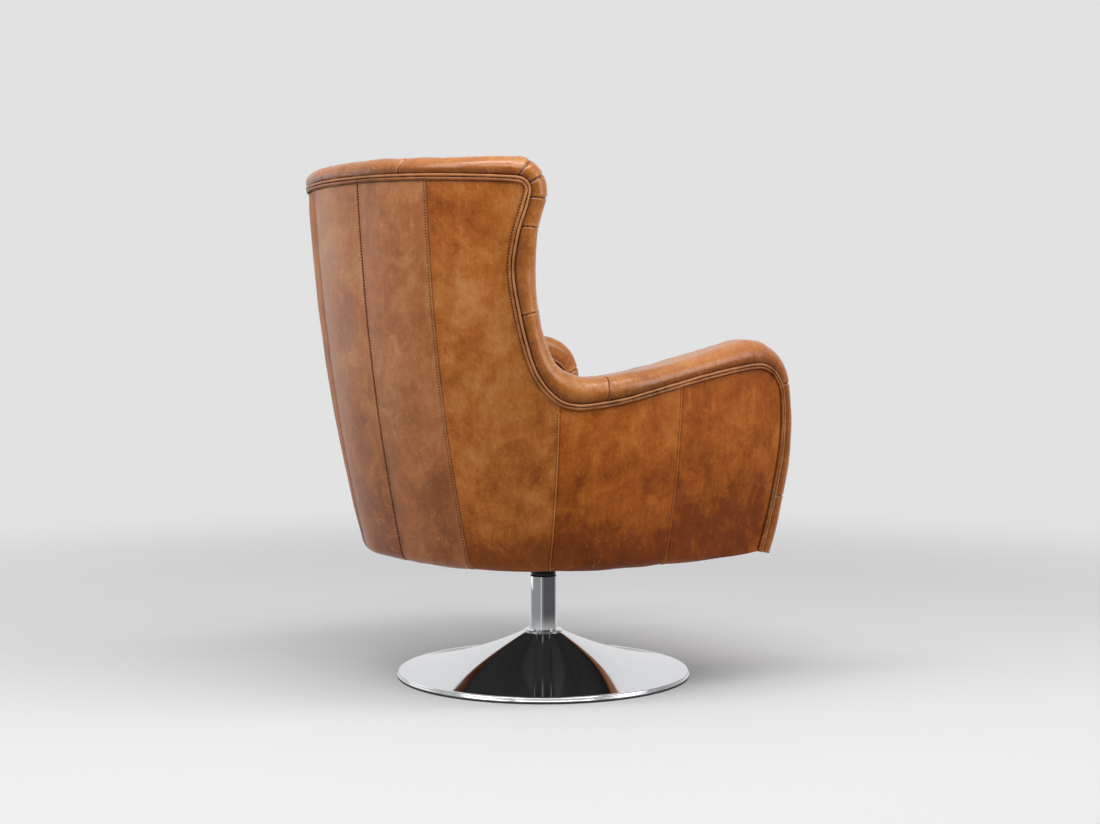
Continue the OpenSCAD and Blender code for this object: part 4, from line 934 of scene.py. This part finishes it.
def roll_piece(name, l0, l1):
    """One run of the roll between two of its seams or ends, with its rows of points along the cross seams."""
    ls = np.concatenate([np.arange(l0, l1, 6.0), [l1]] + [s + NEAR_SEAM for s in (*SEAM_L, *(WHOLE - SEAM_L))])
    ls = np.unique(np.round(ls[(ls >= l0) & (ls <= l1)], 2))
    ls = ls[np.concatenate([[True], np.diff(ls) > 0.35])]
    ls[-1] = l1
    share = np.concatenate([np.linspace(a, b, n)[:-1] for a, b, n in zip(SECTION, SECTION[1:], SECTION_ROWS)] + [[1.0]])
    tt, ll = np.meshgrid(share, ls, indexing="ij")
    m = folded(ll)
    leant = m + lean_of(m, *section(tt, m))
    p, q = section(tt, leant)
    base = edge_pt(np.where(ll > HALF, WHOLE - leant, leant), p, q)
    n = normals(base)
    crown = len(share) // 2
    if (n[crown] * (base[crown] - edge_pt(ls, WALL / 2, 0))).sum() < 0:
        n = -n
    off = np.zeros_like(ll)
    # dark collects tone along the cross seams: a dark line in each seam, and a painted highlight on the ridge beside it
    dark = np.zeros_like(ll)
    for s in SEAM_L:
        d = m - s
        off += -1.6 * bell(d, 1.2) + 0.7 * bell(d - 3.2, 2.2) + 0.45 * bell(d + 3.5, 2.6)
        dark += -1.3 * bell(d, 1.0) + 0.30 * bell(d - 2.6, 1.6)
    off += 0.9 * (1 - np.exp(-np.abs(m[..., None] - SEAM_L).min(-1) / 18))
    off += 0.55 * waves(base, 85, 61) + 0.16 * waves(base, 26, 63)
    for centre, count, gap, lo, hi, deep in CREASES:
        rng = np.random.default_rng(int(centre))
        for c in range(count):
            at = centre + (c - (count - 1) / 2) * gap + rng.uniform(-3, 3)
            mid_t, wide_t = rng.uniform(lo, hi), rng.uniform(0.12, 0.26)
            bend = at + 16 * (tt - mid_t) * rng.uniform(-1, 1)
            off -= deep * rng.uniform(0.5, 1) * bell(m - bend, rng.uniform(1.8, 3.2)) * bell(tt - mid_t, wide_t)
    # Fine gathers where the leather is drawn into the outer seam
    off += 0.22 * waves(base, 11, 67) * np.exp(-np.maximum(q - 4, 0) / 7)
    pts = base + n * off[..., None]
    # Tone: a painted highlight high on the outer face and over the crown and inner side, and painted shade down the
    # outer face to the welt
    tone = 0.20 * bell(q - roll_h(leant) + 4, 12) * (p < 45) + dark
    tone = tone - 1.4 * np.exp(-np.maximum(q - 3.4, 0) / 10) * (p < 30) + 0.15 * smooth((p - 42) / 18)
    parts, tones = [pts], [tone]
    for at, is_foot in ((0, l0 <= 0.0), (-1, l1 >= WHOLE - 0.01)):
        if is_foot:
            ring = pts[:, at]
            centre = ring.mean(0)
            cap = np.array([ring] + [centre + (ring - centre) * part + (0, 0, lift) for part, lift in FOOT_RINGS])
            parts.append(cap if at == -1 else cap[::-1])
            tones.append(np.zeros(cap.shape[:2]))
    return build(name, parts, roll_leather, merge=0.02, tone=tones)


for name, l0, l1 in (("arm_left", 0.0, ARM_JOINT), ("wing_left", ARM_JOINT, TOP_JOINT),
                     ("top", TOP_JOINT, WHOLE - TOP_JOINT), ("wing_right", WHOLE - TOP_JOINT, WHOLE - ARM_JOINT),
                     ("arm_right", WHOLE - ARM_JOINT, WHOLE)):
    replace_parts(roll_piece("roll_" + name, l0, l1), "facing_" + name)

# Inner leather over its padding

PAD_FREE_MM, PAD_LOW_MM, PAD_RIM_MM = [0, 6, 12], [0, 6, 12], [0, 3, 6, 10]


def inner_piece(curves, has_seam):
    """One patch of an inner side, with a seam on its left edge or none."""
    p, dl, dr, db, dt, wz = grid_of(curves, pad, 8.0, SEAM_MM if has_seam else PAD_FREE_MM, PAD_RIM_MM, PAD_LOW_MM,
                                    PAD_RIM_MM)
    n = normals(p)
    if (n * (np.array([0.0, -40, 520]) - p)).sum() < 0:
        n = -n
    rim = np.minimum(dt, dr)
    off = seam_shape(dl, 0) * has_seam + 1.6 * (1 - np.exp(-rim / 16)) - 0.8
    off += 0.8 * waves(p, 120, 81) * (1 - np.exp(-rim / 30)) + 0.2 * waves(p, 35, 82)
    return p + n * off[..., None], 0.04 - 0.5 * bell(dl, 1.4) * has_seam


def back_half():
    p, dl, dr, db, dt, wz = grid_of(rear_curves(inner_seam, PAD_Z), pad, 8.0, [0, 4, 10], SEAM_MM, PAD_LOW_MM,
                                    PAD_RIM_MM)
    n = normals(p)
    if n[..., 1].mean() > 0:
        n = -n
    off = seam_shape(dr, 1) + 2.4 * (1 - np.exp(-np.minimum(dr, dt) / 26)) - 0.8
    off += 0.7 * waves(np.abs(p), 140, 71) * (1 - np.exp(-np.minimum(dr, dt) / 30)) + 0.2 * waves(np.abs(p), 35, 72)
    # A soft hollow across the lumbar, where a back of this kind creases a little
    off -= 0.9 * bell(p[..., 2] - 432 - 8 * np.cos(p[..., 0] / 70), 5) * smooth((230 - np.abs(p[..., 0])) / 60)
    # Tone: a dark seam line with a painted highlight on the fold beside it, and a little paler about 600 mm up
    tone = 0.05 - 0.5 * bell(dr, 1.4) + 0.4 * bell(dr - 2, 1.4) + 0.1 * bell(p[..., 2] - 600, 120)
    return p + n * off[..., None], tone, n, dr


half, tone, n_half, d_half = back_half()
o = build("inner_back_padded", [half, mirror(half)], inner_leather_painted_lighter, merge=0.05,
          tone=[tone, tone[:, ::-1]])
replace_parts(o, "inner_back", "back_foam")
for side_name in ("left", "right"):
    grids, tones = [], []
    for curves, has_seam in ((wing_curves(inner_seam, PAD_Z, True), True), (side_curves(PAD_Z), False),
                             (arm_curves(PAD_Z), False)):
        grid, tone = inner_piece(curves, has_seam)
        grids.append(mirror(grid) if side_name == "right" else grid)
        tones.append(tone[:, ::-1] if side_name == "right" else tone)
    o = build(f"inner_side_padded_{side_name}", grids, inner_leather_painted_lighter, merge=0.4, tone=tones)
    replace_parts(o, f"inner_side_{side_name}", f"side_foam_{side_name}")
j = nearest(d_half[len(d_half) // 2], 5.0)
inner_rows = [((half + 0.15 * n_half)[:, j], n_half[:, j])]
build("inner_stitches", [stitches(with_flipped(inner_rows))], inner_thread)

# Base: spun and chromed trumpet with a rolled rim, trim ring and column, turned as fine profiles

# Radius of the trumpet's neck, how far its foot, its outer and its inner face run from there, the bead's radius, the
# sheet's thickness, and the heights of the foot's edge and of the neck over it
NECK_R, FOOT_RUN, OUTER_RUN, INNER_RUN = 36, 234, 228.6, 230
BEAD_R, SHEET, EDGE_Z, NECK_H = 2.6, 2.4, 9, 72


def lathe(name, profile, look, body, steps):
    a = np.linspace(0, 2 * math.pi, steps, endpoint=False)
    pr = np.array(profile, float)
    pts = np.stack([pr[:, None, 0] * np.cos(a), pr[:, None, 0] * np.sin(a), np.repeat(pr[:, None, 1], steps, 1)], -1)
    f = [tuple(x) for x in grid_faces(len(pr), steps, 0, True)]
    return build(name, [{"v": pts.reshape(-1, 3), "f": f}], look, body)


def trumpet_z(q):
    return EDGE_Z + NECK_H * (0.6 * (1 - q) + 0.4 * (1 - q) ** 2.4)


q = np.linspace(0, 1, 60)
outer_line = [(NECK_R + OUTER_RUN * x, trumpet_z(x * OUTER_RUN / FOOT_RUN)) for x in q]
bead_r = outer_line[-1][0] + 0.8
bead = [(bead_r + BEAD_R * math.sin(a), 8 + BEAD_R * math.cos(a)) for a in np.linspace(0.15, math.pi - 0.3, 14)]
rim_line = [(266.9, 5.2), (266.9, 4.6), (268.2, 4.35), (269.7, 4.15), (270.0, 4.02), (268.4, 4.0), (264.5, 5.5)]
inside = [(NECK_R - 2 + INNER_RUN * x, trumpet_z(x) - SHEET) for x in q[::-1]]
trumpet = lathe("trumpet_spun", [(25.6, 80.9), (26, 81), (35, 81.05)] + outer_line + bead + rim_line + inside
                + [(25.6, 78.6)], chrome, "base", 256)
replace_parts(trumpet, "trumpet_base")
ring = lathe("trim_ring", [(25.15, 81.1), (34.6, 81.1), (35.6, 81.5), (36, 82.2), (35.8, 83), (35, 83.7), (33.8, 84),
                           (26.2, 84.0), (25.3, 83.6), (25.15, 83)], chrome, "base", 160)
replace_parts(ring, "trumpet_collar")
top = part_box("column_tube")[1].z / MM
column = lathe("column_chromed", [(23.05, 8), (25, 8), (25, 84), (25, 120), (25, top - 1.1), (24.8, top - 0.4),
                                  (24.2, top - 0.05), (23.4, top - 0.05), (23.05, top - 0.4), (23.05, 8)],
               chrome, "base", 128)
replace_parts(column, "column_tube")
lo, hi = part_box("spindle_sleeve")
z0, z1 = lo.z / MM, hi.z / MM
sleeve = lathe("sleeve_turned", [(14.1, z0), (21.6, z0), (22.5, z0 + 0.4), (22.85, z0 + 1.2), (22.85, z0 + 7),
                                 (22.2, z0 + 7.5), (22.2, z0 + 8.6), (22.85, z0 + 9.1), (22.85, z1), (14.1, z1)],
               NODE_LOOKS["black_sleeve"], SEAT, 96)
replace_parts(sleeve, "spindle_sleeve")

# Seat cushion

# Height of the cushion's underside and of its upper edge, its crown, the gap round it, its front corners' radius, and
# how much smaller the body is before it is filled
CUSHION_LOW, CUSHION_EDGE, CUSHION_CROWN, CUSHION_GAP, CUSHION_CORNER, BODY_INSET = 318.0, 418.0, 22, 9, 45, 7.0


def cushion_pt(u, v, z, inset):
    a = half_w(z) - WALL - CUSHION_GAP - inset
    c = corner_y(z)
    kk = np.abs(u)
    b = rear_y(z) - back_pad(z) - CUSHION_GAP - inset - c
    rear = np.stack([u * a, c + b * (1 - kk ** POWER) ** (1 / POWER)], -1)
    af = a - SIDE_DRAW * ((c + CUSHION_FRONT) / SIDE_RUN) ** 2
    r = CUSHION_CORNER - inset
    over = np.maximum(0, kk * af - (af - r))
    front_y = inset - CUSHION_FRONT + r - np.sqrt(np.maximum(0, r * r - over * over)) + 6 * (1 - kk * kk)
    out = lerp(np.stack([u * af, front_y], -1), rear, v[..., None])
    # The sides are drawn in half way along
    out[..., 0] -= 6 * u * 4 * v * (1 - v)
    return out


us, vs = np.sin(np.linspace(-1, 1, 41) * math.pi / 2), np.linspace(0, 1, 31)


def cushion_loop(z):
    """The cushion's edge at a height: the rear, one side, the front and the other side."""
    rear, right = np.ones_like(us), np.ones_like(vs)
    loop = np.concatenate([cushion_pt(us, rear, z, 0), cushion_pt(right, vs, z, 0)[-2::-1],
                           cushion_pt(us, 0 * us, z, 0)[-2::-1], cushion_pt(-right, vs, z, 0)[1:-1]])
    return np.concatenate([loop, np.full((len(loop), 1), z)], 1)


uu, vv = np.meshgrid(us, vs, indexing="ij")
nx, ny = uu.shape
top = cushion_pt(uu, vv, CUSHION_EDGE, BODY_INSET)
crown = CUSHION_CROWN * (1 - np.abs(uu) ** 2.6) * (1 - np.abs(2 * vv - 1) ** 2.6)
top = np.concatenate([top, (CUSHION_EDGE - 6 + crown)[..., None]], -1)
base = cushion_pt(uu, vv, CUSHION_LOW, BODY_INSET)
base = np.concatenate([base, np.full((nx, ny, 1), CUSHION_LOW + 5)], -1)
faces = [tuple(f) for f in grid_faces(nx, ny)] + [tuple(f[::-1]) for f in grid_faces(nx, ny, nx * ny)]
ids = np.arange(nx * ny).reshape(nx, ny)
rim_ids = np.concatenate([ids[:, 0], ids[-1, 1:], ids[-2::-1, -1], ids[0, -2:0:-1]]).tolist()
faces += [(a, nx * ny + a, nx * ny + b, b) for a, b in zip(rim_ids, rim_ids[1:] + rim_ids[:1])]
body = {"v": np.vstack([top.reshape(-1, 3), base.reshape(-1, 3)]), "f": faces}
core = build("seat_cushion", [body], cushion_leather)
edit_mesh(core.data, lambda bm: bmesh.ops.recalc_face_normals(bm, faces=bm.faces))


def apply_modifiers(o):
    bpy.context.view_layer.update()
    mesh = bpy.data.meshes.new_from_object(o.evaluated_get(bpy.context.evaluated_depsgraph_get()))
    old = o.data
    o.modifiers.clear()
    o.data = mesh
    bpy.data.meshes.remove(old)


def inflate(o, voxel, cap, pressure=4.0, frames=20):
    """Cloth simulation under pressure, with each point's travel held to cap, and its result kept as the mesh."""
    r = o.modifiers.new("remesh", "REMESH")
    r.mode = "VOXEL"
    r.voxel_size = voxel
    apply_modifiers(o)
    start = np.array([v.co for v in o.data.vertices])
    c = o.modifiers.new("cloth", "CLOTH")
    c.settings.use_pressure = True
    c.settings.uniform_pressure_force = pressure
    c.settings.effector_weights.gravity = 0
    c.settings.quality = 5
    c.point_cache.frame_start, c.point_cache.frame_end = 1, frames
    scene = bpy.context.scene
    for f in range(1, frames + 1):
        scene.frame_set(f)
    end = np.array([v.co for v in o.evaluated_get(bpy.context.evaluated_depsgraph_get()).data.vertices])
    o.modifiers.clear()
    scene.frame_set(1)
    move = end - start
    far = np.linalg.norm(move, axis=1, keepdims=True)
    set_points(o.data, start + move * np.minimum(1, cap / np.maximum(far, 1e-9)))


inflate(core, 0.006, 0.009)
smooth_mod = core.modifiers.new("smooth", "SMOOTH")
smooth_mod.iterations = 6
smooth_mod.factor = 0.5
apply_modifiers(core)
co = np.array([v.co for v in core.data.vertices]) / MM
# The cushion stays on the deck, and between its neighbours
co[:, 2] = np.maximum(co[:, 2], CUSHION_LOW + 0.3)
nrm = np.array([v.normal for v in core.data.vertices])
co += nrm * (0.45 * waves(co, 95, 91) + 0.14 * waves(co, 28, 92))[:, None]
co[:, 2] = np.maximum(co[:, 2], CUSHION_LOW + 0.3)
set_points(core.data, co * MM)
set_tone(core.data, np.full(len(co), 0.06))
core.data.shade_smooth()
core.data.materials.clear()
core.data.materials.append(cushion_leather)
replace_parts(core, "cushion_top", "cushion_border", "cushion_bottom", "cushion_foam")
tree = BVHTree.FromPolygons([v.co.copy() for v in core.data.vertices], [tuple(p.vertices) for p in core.data.polygons])


def on_cushion(path, out):
    """The path laid on the cushion's surface, out mm outside it."""
    rows = []
    for p in path:
        hit, n, _, _ = tree.find_nearest(Vector(p * MM))
        rows.append(np.array(hit) / MM + np.array(n) * out)
    rows = np.array(rows)
    for _ in range(4):
        rows = (np.roll(rows, 1, 0) + 2 * rows + np.roll(rows, -1, 0)) / 4
    return rows


cords = [tube_grid(on_cushion(cushion_loop(z) + (0, 0, drop), 1.4), 2.5, 10, True)
         for z, drop in ((CUSHION_EDGE, -4.0), (CUSHION_LOW, 5.0))]
o = build("cushion_welts_dressed", cords, welt_leather,
          tone=[np.full(cord.shape[:2], 0.15) for cord in cords])
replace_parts(o, "cushion_welts")

# Front border under the cushion


def front_border():
    """The leather between the arms, bulging forward from the front rail."""
    across, z = np.meshgrid(np.linspace(-1, 1, 64), np.linspace(FOOT_Z - 6, PAD_Z, 22))
    y = FOOT_Y - FRONT_LEAN * (z - FOOT_Z) / FRONT_LEAN_H
    x = tub(w_at_y(y, z), z, WALL + 3.0)[..., 0]
    d = np.minimum(z - z[0], z[-1] - z)
    bulge = 8 + 3 * (1 - across ** 2) + 2.0 * (1 - np.exp(-d / 12)) - 3.0 * bell(z - z[0], 4)
    p = np.stack([-across * x, y - bulge, z], -1)
    p[..., 1] += 0.4 * waves(p, 60, 95)
    # The lower edge is turned under
    return np.vstack([[p[0] + (0, 22.0, 3.0)], [p[0] + (0, 6.0, -0.5)], p])


fb = front_border()
o = build("front_border_padded", [fb], cushion_leather, tone=[np.full(fb.shape[:2], 0.05)])
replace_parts(o, "front_cover", "front_foam")

# Stage: pale floor and soft studio light

# What shiny things see on the camera's side: grey to the left, darker to the right, and a bright strip
PALE, GREY_SIDE, DARK_SIDE = (0.76, 0.76, 0.765), (0.26, 0.275, 0.272), (0.085, 0.083, 0.090)
STRIP_SLOPE, STRIP_HALF_WIDTH = -0.33, 0.035


def room_colour(nt, way):
    """What the chrome and the leather reflect in a direction: pale behind the chair and above, else the greyer room."""
    def along_way(direction):
        return node(nt, "VectorMath", {0: way, 1: direction}, operation="DOT_PRODUCT").outputs["Value"]

    front, aside, high = along_way(tuple(-forward0)), along_way(tuple(right0)), along_way((0, 0, 1))
    near = calc(nt, "MULTIPLY", to_range(nt, front, -0.90, -0.30), to_range(nt, high, 0.80, 0.25))
    room = mix(nt, to_range(nt, aside, -0.35, 0.15), GREY_SIDE, DARK_SIDE)
    slope = calc(nt, "DIVIDE", aside, calc(nt, "MAXIMUM", front, 0.05))
    strip_at = calc(nt, "LESS_THAN", calc(nt, "ABSOLUTE", calc(nt, "ADD", slope, -STRIP_SLOPE)), STRIP_HALF_WIDTH)
    room = mix(nt, calc(nt, "MULTIPLY", strip_at, calc(nt, "GREATER_THAN", front, 0.3)), room, (1.0, 1.0, 1.0))
    return mix(nt, near, PALE, room)


FLOOR_HALF = 14
CORNERS = ((-1, -1), (1, -1), (1, 1), (-1, 1))
floor = bpy.data.meshes.new("floor")
floor.from_pydata([(x * FLOOR_HALF, y * FLOOR_HALF, 0) for x, y in CORNERS], [], [(0, 1, 2, 3)])
floor = new_object("floor", floor)
floor_look, nt, bsdf = material("floor_pale", 0.75, colour=(0.70, 0.70, 0.70), Specular_IOR_Level=0.2)
bump(nt, bsdf, [(noise(nt, coords(nt), 40, 5), 0.05, 0.001)])
# Away from the chair the floor turns into the plain background, for glossy rays nearer than for others
far = node(nt, "VectorMath", {0: coords(nt)}, operation="LENGTH").outputs["Value"]
flat = node(nt, "VectorMath", {0: coords(nt)}, operation="NORMALIZE").outputs["Vector"]
glossy = node(nt, "LightPath").outputs["Is Glossy Ray"]
plain = node(nt, "Emission", {"Color": mix(nt, glossy, PALE, room_colour(nt, flat))}).outputs["Emission"]
starts = calc(nt, "SUBTRACT", 0.8, calc(nt, "MULTIPLY", glossy, 0.55))
ends = calc(nt, "SUBTRACT", 3.2, calc(nt, "MULTIPLY", glossy, 2.45))
fade = to_range(nt, far, starts, ends, interpolation_type="SMOOTHERSTEP")
blend = node(nt, "MixShader", {"Fac": fade, 1: bsdf.outputs["BSDF"], 2: plain}).outputs["Shader"]
nt.links.new(blend, nt.nodes["Material Output"].inputs["Surface"])
floor.data.materials.append(floor_look)


def place_by_view(right_m, up_m, back_m):
    """A point given from the chair as seen by the camera: to the right, up, and towards the camera."""
    return right0 * right_m + Vector((0, 0, up_m)) - forward0 * back_m


# Each light: its place by view, the height that it points at, its width and height in metres, and its power
for name, place_m, target_z, width, height, power in (
        ("key", (-2.4, 2.6, 1.6), 0.5, 1.8, 2.2, 40), ("fill", (3.2, 1.9, 0.9), 0.5, 1.8, 2.2, 34),
        ("over", (0.1, 2.8, 0.8), 0.5, 2.8, 0.5, 36), ("strip", (0.3, 2.3, 1.5), 0.6, 2.4, 0.28, 14),
        ("left", (-2.8, 1.0, -1.2), 0.6, 1.8, 2.0, 8)):
    light = bpy.data.lights.new(name, "AREA")
    light.shape = "RECTANGLE"
    light.energy, light.size, light.size_y = power, width, height
    lamp = new_object(name, light)
    lamp.location = place_by_view(*place_m)
    lamp.rotation_euler = (Vector((0, 0, target_z)) - place_by_view(*place_m)).to_track_quat("-Z", "Y").to_euler()

world = bpy.data.worlds.new("studio")
bpy.context.scene.world = world
world.use_nodes = True
nt = world.node_tree
path = node(nt, "LightPath")
mirrored_room = room_colour(nt, node(nt, "TexCoord").outputs["Generated"])
lit = mix(nt, path.outputs["Is Glossy Ray"], tuple(0.50 * c for c in (0.80, 0.81, 0.83)), mirrored_room)
plain_seen = calc(nt, "ADD", path.outputs["Is Camera Ray"], path.outputs["Is Transmission Ray"], True)
wire(nt, nt.nodes["Background"], {"Color": mix(nt, plain_seen, lit, PALE), "Strength": 1.0})
bpy.context.scene.view_settings.view_transform = "Standard"
